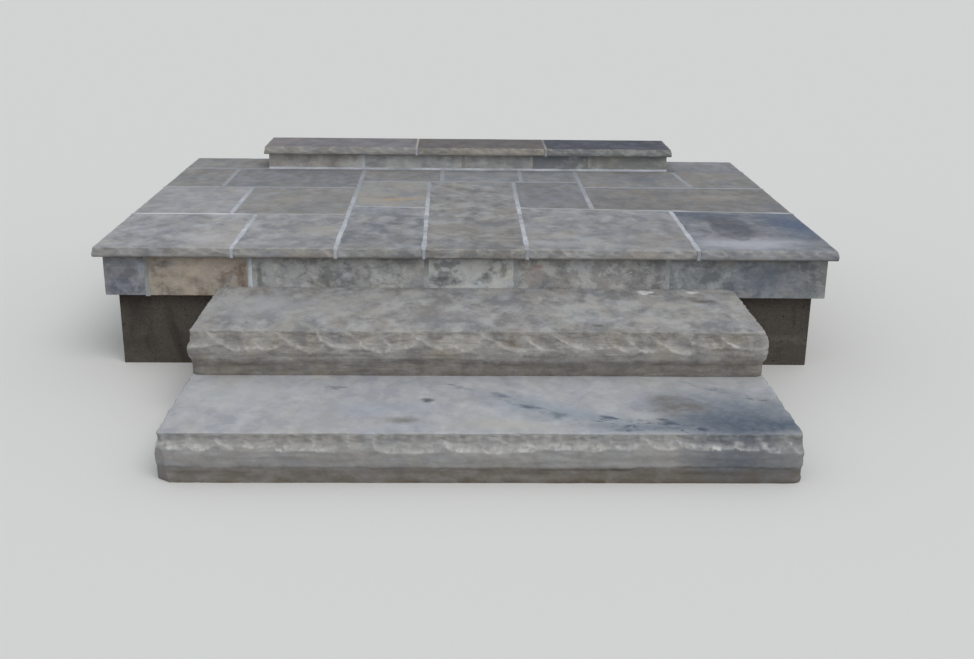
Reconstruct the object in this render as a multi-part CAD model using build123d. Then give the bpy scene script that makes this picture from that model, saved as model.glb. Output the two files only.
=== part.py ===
from build123d import *
from math import sin
import os

# Outdoor stone steps: two rock faced slab steps, a flagged landing and a low sill step at its back.
# Millimetres. X runs to the right, Y from the front to the back, Z up from the ground.
# While it is built, X = 0 is the middle of the slab steps and Y = 0 the front arris of the lower one.
# The finished model is moved so that the origin lies on the ground under the middle of its outline.

# Slab steps
slab_rise = 165
slab_width = 1998
lower_tread = 506
upper_tread = 534
lower_lap = 94
upper_back_corner = 34
lower_back_corner = 12

# Pitched rock face, which runs round the front and both ends of each slab
belly = 15
lower_shoulder_drop = 52
upper_shoulder_drop = 44
lower_ledge_height = 54
upper_ledge_height = 66
lower_foot_set_in = 13
upper_foot_set_in = 26
low_ledge_height = 26
ledge_step = 6
ledge_set_in = 5
arris_corner_cut = 8
belly_corner_cut = 30
foot_corner_cut = 22

# How the face strays from a plain one
station_pitch = 160
face_wave = 2.4
ledge_wave = 5
face_wave_length = 97
ripple_length = 41
ripple_share = 0.6
ledge_wave_length = 110
right_end_phase = 700
wave_phase = 2.1
ripple_phase = 1.3

# Flakes struck off along the shoulder
flake_pitch = 142
flake_radius = 400
flake_bite = 6.5
flake_drop = 20
flake_variety = 0.16
front_flake_phase = 2.3
end_flake_phase = 1.7

# Bed of concrete under the upper slab, hidden between the lower slab and the landing
footing_set_in = 120

# Landing, measured along the front edge of its flags
landing_left = 1475
left_block = 930
tan_block = 338
centre_block = 397
narrow_block = 327
right_block = 883
field_depth = 1651
landing_rise = 160
flag_thickness = 38
flag_arris = 3
nosing_overhang = 35
flag_joint = 12
joint_recess = 2.5
bed_thickness = 15

# Flag joints that run back, from the left edge of the block that each one divides
left_front_split = 534
left_middle_split = 425
left_back_split = 280
centre_back_split = 49
narrow_back_split = 43
right_front_split = 334
right_back_split = 505

# Flag joints that run across, the front ones from the nosing and the back ones from the sill
left_front_course = 594
tan_front_course = 770
narrow_front_course = 757
left_back_course = 478
centre_back_course = 336
right_back_course = 428

# How far the joints stray from square, as a slope
lean_b = -0.007
lean_c = -0.008
lean_h = 0.012
lean_i = -0.066
stray_left = 0.010
stray_tan = -0.070
stray_right = -0.062
stray_back = 0.018

# Riser panels that face the landing under its flags
panel_thickness = 30
panel_lap = 38
panel_coat = 10
panel_joint = 10
panel_widths = (169, 396, 682, 346, 592)
side_panel_count = 3

# Sill step at the back of the landing
sill_rise = 114
sill_width = 2044
sill_tread = 283
sill_middle = -25
coping_thickness = 38
coping_overhang = 25
coping_widths = (785, 662)
sill_stone_thickness = 30
sill_stone_widths = (486, 513, 350, 302)
sill_joint = 9

# Heights
upper_top = 2 * slab_rise
landing_top = upper_top + landing_rise
flag_bottom = landing_top - flag_thickness
base_top = flag_bottom - bed_thickness
panel_bottom = upper_top - panel_lap
sill_top = landing_top + sill_rise
coping_bottom = sill_top - coping_thickness

# Places across
landing_width = left_block + tan_block + centre_block + narrow_block + right_block
landing_x0 = -landing_left
landing_x1 = landing_x0 + landing_width
panel_x0 = landing_x0 + nosing_overhang
panel_x1 = landing_x1 - nosing_overhang
base_x0 = panel_x0 + panel_thickness + panel_coat
base_x1 = panel_x1 - panel_thickness - panel_coat
sill_x0 = sill_middle - sill_width / 2
sill_x1 = sill_middle + sill_width / 2

# Places from the front to the back
panel_y = lower_tread + upper_tread
nosing_y = panel_y - nosing_overhang
base_y = panel_y + panel_thickness + panel_coat
sill_y = nosing_y + field_depth + flag_joint / 2
back_y = sill_y + sill_tread


def block(x0, x1, y0, y1, z0, z1):
    """A box between two places along each axis."""
    return Pos(x0, y0, z0) * Box(x1 - x0, y1 - y0, z1 - z0, align=(Align.MIN, Align.MIN, Align.MIN))


# Slab steps

def spread(length, pitch):
    """Even places along a length, about one pitch apart, with both ends."""
    count = max(2, round(length / pitch))
    return [length * i / count for i in range(count + 1)]


def uneven(place, level):
    """A small set-out that varies along a face and from one level of it to the next."""
    slow = sin(place / face_wave_length + wave_phase * level)
    quick = sin(place / ripple_length + ripple_phase * level)
    return face_wave * (slow + ripple_share * quick)


def face_outline(depth, level, height, set_out, corner, wave, back_corner):
    """The outline of a slab at one level: back to front on the left, across, and back on the right."""
    half = slab_width / 2
    left = []
    right = []
    for y in spread(depth, station_pitch)[1:]:
        rise = wave * sin(y / ledge_wave_length + level)
        left.append((-half - set_out - uneven(y, level), y, height + rise))
        right.append((half + set_out + uneven(y + right_end_phase, level), y, height - rise))
    back_x, back_y, back_z = right.pop()
    right.append((back_x, back_y - back_corner, back_z))
    right.append((back_x - back_corner, back_y, back_z))
    front = []
    for x in spread(slab_width, station_pitch)[1:-1]:
        rise = wave * sin(x / ledge_wave_length + level)
        front.append((x - half, -set_out - uneven(x, level), height + rise))
    out = half + set_out
    left_corner = [(-out, corner - set_out, height), (corner - out, -set_out, height)]
    right_corner = [(out - corner, -set_out, height), (out, corner - set_out, height)]
    points = [*reversed(left), *left_corner, *front, *right_corner, *right]
    return Wire.make_polygon([Vector(*p) for p in points], close=True)


def flake(x, y, out_x, out_y, shoulder_drop, variety):
    """A ball that takes a shallow flake off a pitched face, whose outward direction is given."""
    radius = flake_radius * (1 + flake_variety * sin(variety))
    lean = belly / (belly ** 2 + shoulder_drop ** 2) ** 0.5
    reach = radius - flake_bite
    out = belly * flake_drop / shoulder_drop + reach * (1 - lean ** 2) ** 0.5
    height = slab_rise - flake_drop + reach * lean
    return Pos(x + out_x * out, y + out_y * out, height) * Sphere(radius)


def rock_faced_slab(depth, shoulder_drop, ledge_height, foot_set_in, back_corner):
    """A slab on z = 0 with a sawn back, and pitched faces on its front and both ends."""
    low_set_out = belly - (foot_set_in + ledge_set_in) / 2
    levels = (
        (0, belly - foot_set_in, foot_corner_cut, 0),
        (low_ledge_height, low_set_out - ledge_set_in, foot_corner_cut, ledge_wave),
        (low_ledge_height + ledge_step, low_set_out, foot_corner_cut, ledge_wave),
        (ledge_height, belly - ledge_set_in, belly_corner_cut, ledge_wave),
        (ledge_height + ledge_step, belly, belly_corner_cut, ledge_wave),
        (slab_rise - shoulder_drop, belly, belly_corner_cut, 0),
        (slab_rise, 0, arris_corner_cut, 0),
    )
    outlines = []
    for level, (height, set_out, corner, wave) in enumerate(levels):
        outlines.append(face_outline(depth, level, height, set_out, corner, wave, back_corner))
    slab = Solid.make_loft(outlines, ruled=True)
    half = slab_width / 2
    flakes = []
    for i, x in enumerate(spread(slab_width, flake_pitch)):
        flakes.append(flake(x - half, 0, 0, -1, shoulder_drop, front_flake_phase * i))
    for i, y in enumerate(spread(depth, flake_pitch)[1:]):
        flakes.append(flake(-half, y, -1, 0, shoulder_drop, end_flake_phase * i))
        flakes.append(flake(half, y, 1, 0, shoulder_drop, end_flake_phase * i))
    return slab - flakes


def make_slab_steps():
    """The two slabs and the bed that carries the back of the upper one."""
    lower_depth = lower_tread + lower_lap
    lower = rock_faced_slab(
        lower_depth, lower_shoulder_drop, lower_ledge_height, lower_foot_set_in, lower_back_corner,
    )
    upper = rock_faced_slab(
        upper_tread, upper_shoulder_drop, upper_ledge_height, upper_foot_set_in, upper_back_corner,
    )
    half_bed = slab_width / 2 - footing_set_in
    return {
        "lower_step": lower,
        "upper_step": Pos(0, lower_tread, slab_rise) * upper,
        "upper_step_footing": block(-half_bed, half_bed, lower_depth, base_y, 0, slab_rise),
    }


# Landing

# Joints that run back are (x at the nosing, slope), and joints that run across (y at the left edge, slope).
joint_b = landing_x0 + left_block
joint_c = joint_b + tan_block
joint_e = joint_c + centre_block
joint_g = joint_e + narrow_block
running_back = {
    "left_edge": (landing_x0, 0),
    "a": (landing_x0 + left_front_split, 0),
    "middle_split": (landing_x0 + left_middle_split, 0),
    "back_split": (landing_x0 + left_back_split, 0),
    "b": (joint_b, lean_b),
    "c": (joint_c, lean_c),
    "d": (joint_c + centre_back_split, 0),
    "e": (joint_e, 0),
    "f": (joint_e + narrow_back_split, 0),
    "g": (joint_g, 0),
    "h": (joint_g + right_front_split, lean_h),
    "i": (joint_g + right_back_split - lean_i * field_depth, lean_i),
    "right_edge": (landing_x1, 0),
    "sill_left": (sill_x0 - flag_joint / 2, 0),
    "sill_right": (sill_x1 + flag_joint / 2, 0),
}
field_back = nosing_y + field_depth
running_across = {
    "nosing": (nosing_y, 0),
    "left_front": (nosing_y + left_front_course, stray_left),
    "tan_front": (nosing_y + tan_front_course - stray_tan * left_block, stray_tan),
    "right_front": (nosing_y + narrow_front_course - stray_right * (joint_e - landing_x0), stray_right),
    "left_back": (field_back - left_back_course, stray_left),
    "centre_back": (field_back - centre_back_course, stray_back),
    "right_back": (field_back - right_back_course, 0),
    "sill_foot": (field_back, 0),
    "back_edge": (back_y, 0),
}
outer_edges = ("left_edge", "right_edge", "nosing", "back_edge")

# Each flag lies between two joints that run back and two that run across.
flag_plan = {
    "flag_front_left_outer": ("left_edge", "a", "nosing", "left_front"),
    "flag_front_left_inner": ("a", "b", "nosing", "left_front"),
    "flag_front_tan_side": ("b", "c", "nosing", "tan_front"),
    "flag_centre_large": ("c", "e", "nosing", "centre_back"),
    "flag_front_right_inner": ("e", "h", "nosing", "right_front"),
    "flag_front_right_outer": ("h", "right_edge", "nosing", "right_front"),
    "flag_middle_left_outer": ("left_edge", "middle_split", "left_front", "left_back"),
    "flag_middle_left_inner": ("middle_split", "b", "left_front", "left_back"),
    "flag_middle_tan": ("b", "c", "tan_front", "centre_back"),
    "flag_middle_narrow": ("e", "g", "right_front", "centre_back"),
    "flag_middle_right": ("g", "right_edge", "right_front", "right_back"),
    "flag_back_left_outer": ("left_edge", "back_split", "left_back", "sill_foot"),
    "flag_back_left_inner": ("back_split", "b", "left_back", "sill_foot"),
    "flag_back_tan_side": ("b", "d", "centre_back", "sill_foot"),
    "flag_back_centre": ("d", "f", "centre_back", "sill_foot"),
    "flag_back_narrow": ("f", "g", "centre_back", "sill_foot"),
    "flag_back_right_inner": ("g", "i", "right_back", "sill_foot"),
    "flag_back_right_outer": ("i", "right_edge", "right_back", "sill_foot"),
    "flag_beside_sill_left": ("left_edge", "sill_left", "sill_foot", "back_edge"),
    "flag_beside_sill_right": ("sill_right", "right_edge", "sill_foot", "back_edge"),
}


def flag_side(joints, name, sign):
    """The side of a flag at a joint: half a joint in from its middle, or on it at an outer edge."""
    place, slope = joints[name]
    gap = 0 if name in outer_edges else flag_joint / 2
    return place + sign * gap, slope


def flag_corner(back_side, across_side):
    """Where a side that runs back meets one that runs across."""
    x0, lean = back_side
    y0, stray = across_side
    y = (y0 + stray * (x0 - lean * nosing_y - landing_x0)) / (1 - stray * lean)
    return x0 + lean * (y - nosing_y), y


def make_flag(left, right, front, back):
    """One flag between four joints, with its upper arrises taken off."""
    left_side = flag_side(running_back, left, 1)
    right_side = flag_side(running_back, right, -1)
    front_side = flag_side(running_across, front, 1)
    back_side = flag_side(running_across, back, -1)
    corners = [
        flag_corner(left_side, front_side),
        flag_corner(right_side, front_side),
        flag_corner(right_side, back_side),
        flag_corner(left_side, back_side),
    ]
    outline = Face(Wire.make_polygon([Vector(x, y, flag_bottom) for x, y in corners], close=True))
    flag = Solid.extrude(outline, Vector(0, 0, flag_thickness))
    return chamfer(flag.edges().group_by(Axis.Z)[-1], flag_arris)


def make_landing():
    """The flags, the mortar between and under them, and the concrete that carries them."""
    pieces = {}
    for name, sides in flag_plan.items():
        pieces[name] = make_flag(*sides)
    bed = block(base_x0, base_x1, base_y, back_y, base_top, flag_bottom)
    joints = block(
        landing_x0 + joint_recess, landing_x1 - joint_recess, nosing_y + joint_recess, back_y,
        flag_bottom, landing_top - joint_recess,
    )
    sill = block(sill_x0, sill_x1, sill_y, back_y, base_top, landing_top)
    plate = bed + joints - sill
    pieces["landing_mortar"] = plate - [pieces[name] for name in flag_plan]
    pieces["landing_base"] = block(base_x0, base_x1, base_y, back_y, 0, base_top)
    return pieces


def row_of_stones(start, end, widths, joint):
    """Where the stones of a row begin and end. The last one takes what the others leave."""
    spans = []
    place = start
    for width in widths:
        spans.append((place, place + width - joint))
        place += width
    spans.append((place, end))
    return spans


def make_riser_panels():
    """The panels round the landing below its flags, and the mortar behind and between them."""
    pieces = {}
    front_row = row_of_stones(panel_x0, panel_x1, panel_widths, panel_joint)
    inner_y = panel_y + panel_thickness
    for number, (x0, x1) in enumerate(front_row, 1):
        pieces[f"riser_panel_{number}"] = block(x0, x1, panel_y, inner_y, panel_bottom, flag_bottom)
    side_start = inner_y + panel_joint
    side_width = (back_y - side_start + panel_joint) / side_panel_count
    side_row = row_of_stones(side_start, back_y, [side_width] * (side_panel_count - 1), panel_joint)
    left = []
    right = []
    for y0, y1 in side_row:
        left.append(block(panel_x0, panel_x0 + panel_thickness, y0, y1, panel_bottom, flag_bottom))
        right.append(block(panel_x1 - panel_thickness, panel_x1, y0, y1, panel_bottom, flag_bottom))
    pieces["side_riser_panels_left"] = Compound(left)
    pieces["side_riser_panels_right"] = Compound(right)
    filled = block(
        panel_x0 + joint_recess, panel_x1 - joint_recess, panel_y + joint_recess, back_y,
        panel_bottom, flag_bottom,
    )
    core = block(base_x0, base_x1, base_y, back_y, panel_bottom, flag_bottom)
    pieces["riser_mortar"] = filled - core - list(pieces.values())
    return pieces


# Sill step

def make_sill():
    """The low step at the back: facing stones round a core, with three coping stones on top."""
    pieces = {}
    inner_y = sill_y + sill_stone_thickness
    front_row = row_of_stones(sill_x0, sill_x1, sill_stone_widths, sill_joint)
    for number, (x0, x1) in enumerate(front_row, 1):
        pieces[f"sill_riser_stone_{number}"] = block(x0, x1, sill_y, inner_y, base_top, coping_bottom)
    left_end = block(sill_x0, sill_x0 + sill_stone_thickness, inner_y, back_y, base_top, coping_bottom)
    right_end = block(sill_x1 - sill_stone_thickness, sill_x1, inner_y, back_y, base_top, coping_bottom)
    pieces["sill_end_stones"] = Compound([left_end, right_end])
    pieces["sill_core"] = block(
        sill_x0 + sill_stone_thickness, sill_x1 - sill_stone_thickness, inner_y, back_y,
        base_top, coping_bottom,
    )
    joints = []
    for (_, x0), (x1, _) in zip(front_row, front_row[1:]):
        joints.append(block(x0, x1, sill_y + joint_recess, inner_y, base_top, coping_bottom))
    coping_x0 = sill_x0 - coping_overhang
    coping_x1 = sill_x1 + coping_overhang
    coping_y = sill_y - coping_overhang
    coping_row = row_of_stones(coping_x0, coping_x1, coping_widths, sill_joint)
    for name, (x0, x1) in zip(("left", "middle", "right"), coping_row):
        stone = block(x0, x1, coping_y, back_y, coping_bottom, sill_top)
        pieces[f"sill_coping_{name}"] = chamfer(stone.edges().group_by(Axis.Z)[-1], flag_arris)
    for (_, x0), (x1, _) in zip(coping_row, coping_row[1:]):
        joints.append(block(x0, x1, coping_y + joint_recess, back_y, coping_bottom, sill_top - joint_recess))
    pieces["sill_mortar"] = Compound(joints)
    return pieces


def main():
    """Build every piece, stand the whole on its origin and write one file for each."""
    nodes = {**make_slab_steps(), **make_landing(), **make_riser_panels(), **make_sill()}
    whole = Compound(list(nodes.values())).bounding_box()
    middle = whole.center()
    os.makedirs("parts", exist_ok=True)
    for name, shape in nodes.items():
        export_step(Pos(-middle.X, -middle.Y, 0) * shape, f"parts/{name}.step")
    print(f"{len(nodes)} nodes, {whole.size.X:.1f} x {whole.size.Y:.1f} x {whole.size.Z:.1f} mm")


main()
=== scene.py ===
import logging
import math
from collections.abc import Iterator
from contextlib import contextmanager
from dataclasses import dataclass, field, replace
from enum import Enum
from itertools import product

import bpy
import numpy as np
from mathutils import Matrix, Vector


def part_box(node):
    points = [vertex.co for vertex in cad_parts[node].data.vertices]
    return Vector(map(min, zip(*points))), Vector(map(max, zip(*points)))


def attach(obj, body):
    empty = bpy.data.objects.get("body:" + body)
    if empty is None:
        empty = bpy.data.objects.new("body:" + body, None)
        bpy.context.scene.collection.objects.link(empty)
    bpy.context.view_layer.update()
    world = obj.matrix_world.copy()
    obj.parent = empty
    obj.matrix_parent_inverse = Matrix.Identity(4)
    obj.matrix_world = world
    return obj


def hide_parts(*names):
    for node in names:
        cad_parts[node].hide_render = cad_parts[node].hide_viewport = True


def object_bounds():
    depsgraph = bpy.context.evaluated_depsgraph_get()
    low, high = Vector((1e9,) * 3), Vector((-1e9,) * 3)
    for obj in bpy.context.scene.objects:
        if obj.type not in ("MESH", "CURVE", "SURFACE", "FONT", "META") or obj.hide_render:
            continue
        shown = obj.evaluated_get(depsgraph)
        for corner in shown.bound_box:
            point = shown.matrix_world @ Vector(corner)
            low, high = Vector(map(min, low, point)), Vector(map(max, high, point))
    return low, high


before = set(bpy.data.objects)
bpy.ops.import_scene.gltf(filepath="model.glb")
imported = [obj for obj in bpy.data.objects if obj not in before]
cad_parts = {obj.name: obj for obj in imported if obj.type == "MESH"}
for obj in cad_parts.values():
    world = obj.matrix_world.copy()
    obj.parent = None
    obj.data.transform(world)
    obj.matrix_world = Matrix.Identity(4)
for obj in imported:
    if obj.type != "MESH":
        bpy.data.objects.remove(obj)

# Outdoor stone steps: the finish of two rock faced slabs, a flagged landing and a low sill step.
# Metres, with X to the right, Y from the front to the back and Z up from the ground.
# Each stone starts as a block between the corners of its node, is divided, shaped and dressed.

BODY = "root"
CAD_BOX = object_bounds()
MM = 0.001
TINY = 1e-6
LEAST = 1e-9
MERGE = 1e-5
MOST_CUTS = 90
STONE_EDGE = 50
JOINT_EDGE = 60
JOINT_SLOT = "mortar"

log = logging.getLogger("stone_steps")

Array = np.ndarray
Solid = bpy.types.Object
Socket = bpy.types.NodeSocket
Colour = tuple[float, float, float, float]


def colour(red: int, green: int, blue: int) -> Colour:
    """Turn a colour of 0 to 255, as a screen shows it, into the linear one that a shader takes.

    Args:
        red: The red part.
        green: The green part.
        blue: The blue part.

    Returns:
        The linear colour, opaque.
    """
    parts = []
    for part in (red, green, blue):
        share = part / 255
        parts.append(share / 12.92 if share <= 0.04045 else ((share + 0.055) / 1.055) ** 2.4)
    return (*parts, 1.0)


# Noise and measures

LATTICE = 256
PLAIN_GAIN = 1.7
LAYERED_GAIN = 1.4
LAYER_SHIFT = 7.3


class Noise:
    """Smooth seeded noise, worked out for many points at once.

    A whole number added to the places gives another stretch of the same noise.
    """

    def __init__(self, seed: int) -> None:
        """Shuffle the lattice of slopes.

        Args:
            seed: Sets the pattern.
        """
        rng = np.random.default_rng(seed)
        self.order = rng.permutation(LATTICE)
        slopes = rng.normal(size=(LATTICE, 3))
        self.slopes = slopes / np.linalg.norm(slopes, axis=1, keepdims=True)

    def plain(self, points: Array) -> Array:
        """Gradient noise of about -1 to 1, one cell to the unit.

        Args:
            points: Places, one row each.

        Returns:
            One value for each place.
        """
        cell = np.floor(points).astype(int)
        part = points - cell
        fade = part ** 3 * (part * (part * 6 - 15) + 10)
        total = np.zeros(len(points))
        for corner in product((0, 1), repeat=3):
            key = np.zeros(len(points), int)
            for axis in range(3):
                key = self.order[(key + cell[:, axis] + corner[axis]) & (LATTICE - 1)]
            weight = np.prod(np.where(corner, fade, 1 - fade), axis=1)
            total += weight * np.einsum("ij,ij->i", self.slopes[key], part - corner)
        return total * PLAIN_GAIN

    def fractal(self, points: Array, wave: float, octaves: int = 4, fall: float = 0.5) -> Array:
        """Layers of noise, each of half the wavelength of the one before.

        Args:
            points: Places in metres.
            wave: The longest wavelength in metres.
            octaves: How many layers.
            fall: How much weaker each layer is.

        Returns:
            One value of about -1 to 1 for each place.
        """
        total = np.zeros(len(points))
        share = 1.0
        whole = 0.0
        for layer in range(octaves):
            total += share * self.plain(points * 2 ** layer / wave + LAYER_SHIFT * layer)
            whole += share
            share *= fall
        return total / whole * LAYERED_GAIN

    def cleft(self, points: Array, wave: float, steps: int, crisp: float = 6.0) -> Array:
        """Shallow terraces with broken edges, as a bedded stone shows where it was split.

        Args:
            points: Places in metres.
            wave: The longest wavelength of the terraces' outlines.
            steps: How many levels there are.
            crisp: How steep the risers between them are.

        Returns:
            One height of 0 to 1 for each place.
        """
        height = np.clip(self.fractal(points, wave, 5, 0.55) * 0.5 + 0.5, 0, 1) * steps
        level = np.floor(height)
        rise = np.clip((height - level - 0.5) * crisp + 0.5, 0, 1)
        return (level + rise) / steps


def smooth_step(value: Array, start: float, end: float) -> Array:
    """Rise from 0 at start to 1 at end without a corner.

    Args:
        value: What is compared.
        start: Where the rise begins.
        end: Where it ends.

    Returns:
        One share for each value.
    """
    share = np.clip((value - start) / (end - start), 0, 1)
    return share * share * (3 - 2 * share)


def triple(rest: float, values: dict[int, float]) -> tuple[float, ...]:
    """One value for each axis: the given ones, and the same one for the rest."""
    return tuple(values.get(axis, rest) for axis in range(3))


def places(stone: Solid) -> Array:
    """Read the places of a mesh's points, one row each."""
    found = np.empty(len(stone.data.vertices) * 3)
    stone.data.vertices.foreach_get("co", found)
    return found.reshape(-1, 3)


def set_places(stone: Solid, points: Array) -> None:
    """Move a mesh's points to new places."""
    stone.data.vertices.foreach_set("co", points.ravel())
    stone.data.update()


def paint(stone: Solid, name: str, values: Array) -> None:
    """Keep one value for each point of a mesh, for its material to read.

    Args:
        stone: The mesh object.
        name: The attribute's name.
        values: One value for each point.
    """
    attribute = stone.data.attributes.new(name, "FLOAT", "POINT")
    attribute.data.foreach_set("value", np.clip(values, 0, 1).astype(np.float32))


# Modelling by hand


@contextmanager
def editing() -> Iterator[None]:
    """Open the active mesh for editing, and close it again."""
    bpy.ops.object.mode_set(mode="EDIT")
    yield
    bpy.ops.object.mode_set(mode="OBJECT")


def select_only(mesh: bpy.types.Mesh, kind: str, chosen: Array) -> None:
    """Select some parts of one kind, and nothing else of a mesh.

    Args:
        mesh: The mesh, in object mode.
        kind: Its vertices, edges or polygons.
        chosen: Which of them are selected.
    """
    for name in ("vertices", "edges", "polygons"):
        parts = getattr(mesh, name)
        parts.foreach_set("select", chosen if name == kind else np.zeros(len(parts), bool))


def start_fresh() -> None:
    """Leave nothing selected, so that an operator acts only on what comes next."""
    if bpy.context.object is not None and bpy.context.object.mode != "OBJECT":
        bpy.ops.object.mode_set(mode="OBJECT")
    bpy.ops.object.select_all(action="DESELECT")


def pick(stone: Solid) -> None:
    """Make one object the only one selected, and the active one."""
    start_fresh()
    stone.select_set(True)
    bpy.context.view_layer.objects.active = stone


def cells_for(length: float, pitch: float) -> int:
    """How many even cells a length is divided into, so that few cuts reach it.

    Args:
        length: The length in metres.
        pitch: The wanted cell.

    Returns:
        A count of 1 or more.
    """
    count = max(1, round(length / pitch))
    if count <= MOST_CUTS:
        return count
    halves = math.ceil(count / MOST_CUTS)
    return halves * round(count / halves)


def divide_along(stone: Solid, axis: int, count: int) -> None:
    """Divide every edge that runs along one axis into even cells.

    Args:
        stone: A block whose edges are square to the axes.
        axis: 0, 1 or 2.
        count: How many cells.
    """
    halves = math.ceil(count / MOST_CUTS)
    for cuts in (halves - 1, count // halves - 1):
        if cuts < 1:
            continue
        mesh = stone.data
        ends = np.empty(len(mesh.edges) * 2, int)
        mesh.edges.foreach_get("vertices", ends)
        points = places(stone)
        run = np.abs(points[ends[1::2], axis] - points[ends[::2], axis])
        pick(stone)
        select_only(mesh, "edges", run > TINY)
        with editing():
            bpy.ops.mesh.subdivide(number_cuts=cuts)


def add_block(name: str, low: Vector, high: Vector, cells: tuple[int, int, int]) -> Solid:
    """A closed block between two corners, with its sides divided into even cells.

    Args:
        name: The new object's name.
        low: The lowest corner.
        high: The highest corner.
        cells: How many cells it has along each axis.

    Returns:
        The block, with its place in its mesh.
    """
    start_fresh()
    bpy.ops.mesh.primitive_cube_add(size=1, location=(low + high) / 2, scale=high - low)
    stone = bpy.context.object
    stone.name = name
    stone.data.name = name
    bpy.ops.object.transform_apply(location=True, rotation=True, scale=True)
    bpy.context.tool_settings.mesh_select_mode = (False, True, False)
    for axis, count in enumerate(cells):
        divide_along(stone, axis, count)
    return stone


def join_cells(stone: Solid, axis: int, place: float, margin: float = MERGE) -> None:
    """Make the cells that lie in one flat, hidden side a single face again.

    Args:
        stone: The mesh object.
        axis: The axis that the side is square to.
        place: Where the side lies along it.
        margin: How far a point may be from the side.
    """
    mesh = stone.data
    inside = np.abs(places(stone)[:, axis] - place) < margin
    corners = np.empty(len(mesh.loops), int)
    mesh.loops.foreach_get("vertex_index", corners)
    starts = np.empty(len(mesh.polygons), int)
    mesh.polygons.foreach_get("loop_start", starts)
    chosen = np.logical_and.reduceat(inside[corners], starts)
    if chosen.sum() < 2:
        return
    bpy.context.tool_settings.mesh_select_mode = (False, False, True)
    pick(stone)
    select_only(mesh, "polygons", chosen)
    with editing():
        bpy.ops.mesh.dissolve_faces()


def copy_node(node: str, name: str) -> Solid:
    """Copy a node's mesh into a new object and merge its loose triangles.

    Args:
        node: The node's name.
        name: The copy's name.

    Returns:
        The copy, which is the only object selected.
    """
    start_fresh()
    copy = bpy.data.objects.new(name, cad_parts[node].data.copy())
    bpy.context.scene.collection.objects.link(copy)
    copy.data.name = name
    copy.data.materials.clear()
    pick(copy)
    with editing():
        bpy.ops.mesh.select_all(action="SELECT")
        bpy.ops.mesh.remove_doubles(threshold=MERGE)
    return copy


def smooth(stone: Solid, angle: float) -> None:
    """Shade a stone smoothly, with an edge wherever it turns by more than an angle in degrees."""
    pick(stone)
    bpy.ops.object.shade_smooth_by_angle(angle=math.radians(angle))


def hand_in(stone: Solid, slot: str, *nodes: str) -> None:
    """Seat a finished stone on the frame, in place of its nodes.

    Args:
        stone: The finished object.
        slot: Not used.
        nodes: The nodes that it stands for, if any.
    """
    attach(stone, BODY)
    if nodes:
        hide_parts(*nodes)
    stone.data.calc_loop_triangles()
    log.info("%s: %d triangles", stone.name, len(stone.data.loop_triangles))


# Materials


class MarkKind(Enum):
    """How a single mark on a stone is drawn."""

    BLOT = "a soft stain"
    RING = "an oval ring"
    VEIN = "a broken line"


class Face(Enum):
    """The two axes that a mark lies along."""

    TOP = (0, 1)
    FRONT = (0, 2)


@dataclass(frozen=True)
class Mark:
    """One stain, ring or vein at its own place on a stone.

    Its middle and its reach along and across are in metres, its turn is in degrees.
    """

    kind: MarkKind
    x: float
    other: float
    reach: float
    width: float
    tint: Colour
    strength: float = 0.6
    turn: float = 0.0
    ragged: float = 0.35
    soft: float = 0.9
    face: Face = Face.TOP


def blot(
    x: float, other: float, reach: float, width: float, tint: tuple[int, int, int], strength: float,
    **more: object,
) -> Mark:
    """A stain whose tint is a colour of 0 to 255, with the rest as in Mark."""
    return Mark(MarkKind.BLOT, x, other, reach, width, colour(*tint), strength, **more)


def ring(*where: object, **more: object) -> Mark:
    """An oval ring, given in the way that a blot is."""
    return replace(blot(*where, **more), kind=MarkKind.RING)


def vein(*where: object, **more: object) -> Mark:
    """A broken line, given in the way that a blot is."""
    return replace(blot(*where, **more), kind=MarkKind.VEIN)


def upright(*marks: Mark) -> tuple[Mark, ...]:
    """The same marks on the side that looks to the front."""
    return tuple(replace(mark, face=Face.FRONT) for mark in marks)


@dataclass(frozen=True)
class StoneFinish:
    """The colours and texture of one stone."""

    name: str
    body: Colour
    pale: Colour
    dark: Colour
    warm: Colour
    # chip is a pale for worn and struck stone that is also used for painted highlights; grime and crack are
    # darks for dirt and cracks that are also used for painted shade.
    chip_and_highlight: Colour = colour(190, 187, 180)
    grime_and_shade: Colour = colour(108, 99, 88)
    crack_and_shade: Colour = colour(66, 60, 54)
    # side tints the upright faces and top the level ones: top serves as painted shade on the flags and coping
    # stones; side is the stone's own colour on the flags, and partly painted light and shade on the slab
    # steps.
    side: Colour = (1.0, 0.985, 0.95, 1.0)
    top: Colour = (1.0, 1.0, 1.0, 1.0)
    mottle: float = 0.16
    stretch: float = 1.15
    deep: float = 1.6
    bedded: float = 1.6
    patchy: float = 0.6
    tint: float = 0.7
    wisps: float = 0.3
    grain: float = 0.35
    warmth: float = 0.35
    beds: float = 0.0
    split: float = 1.0
    fans: float = 0.0
    speck: float = 0.3
    bump: float = 1.0
    rough: float = 0.84
    shift: float = 0.0
    marks: tuple[Mark, ...] = ()


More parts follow.
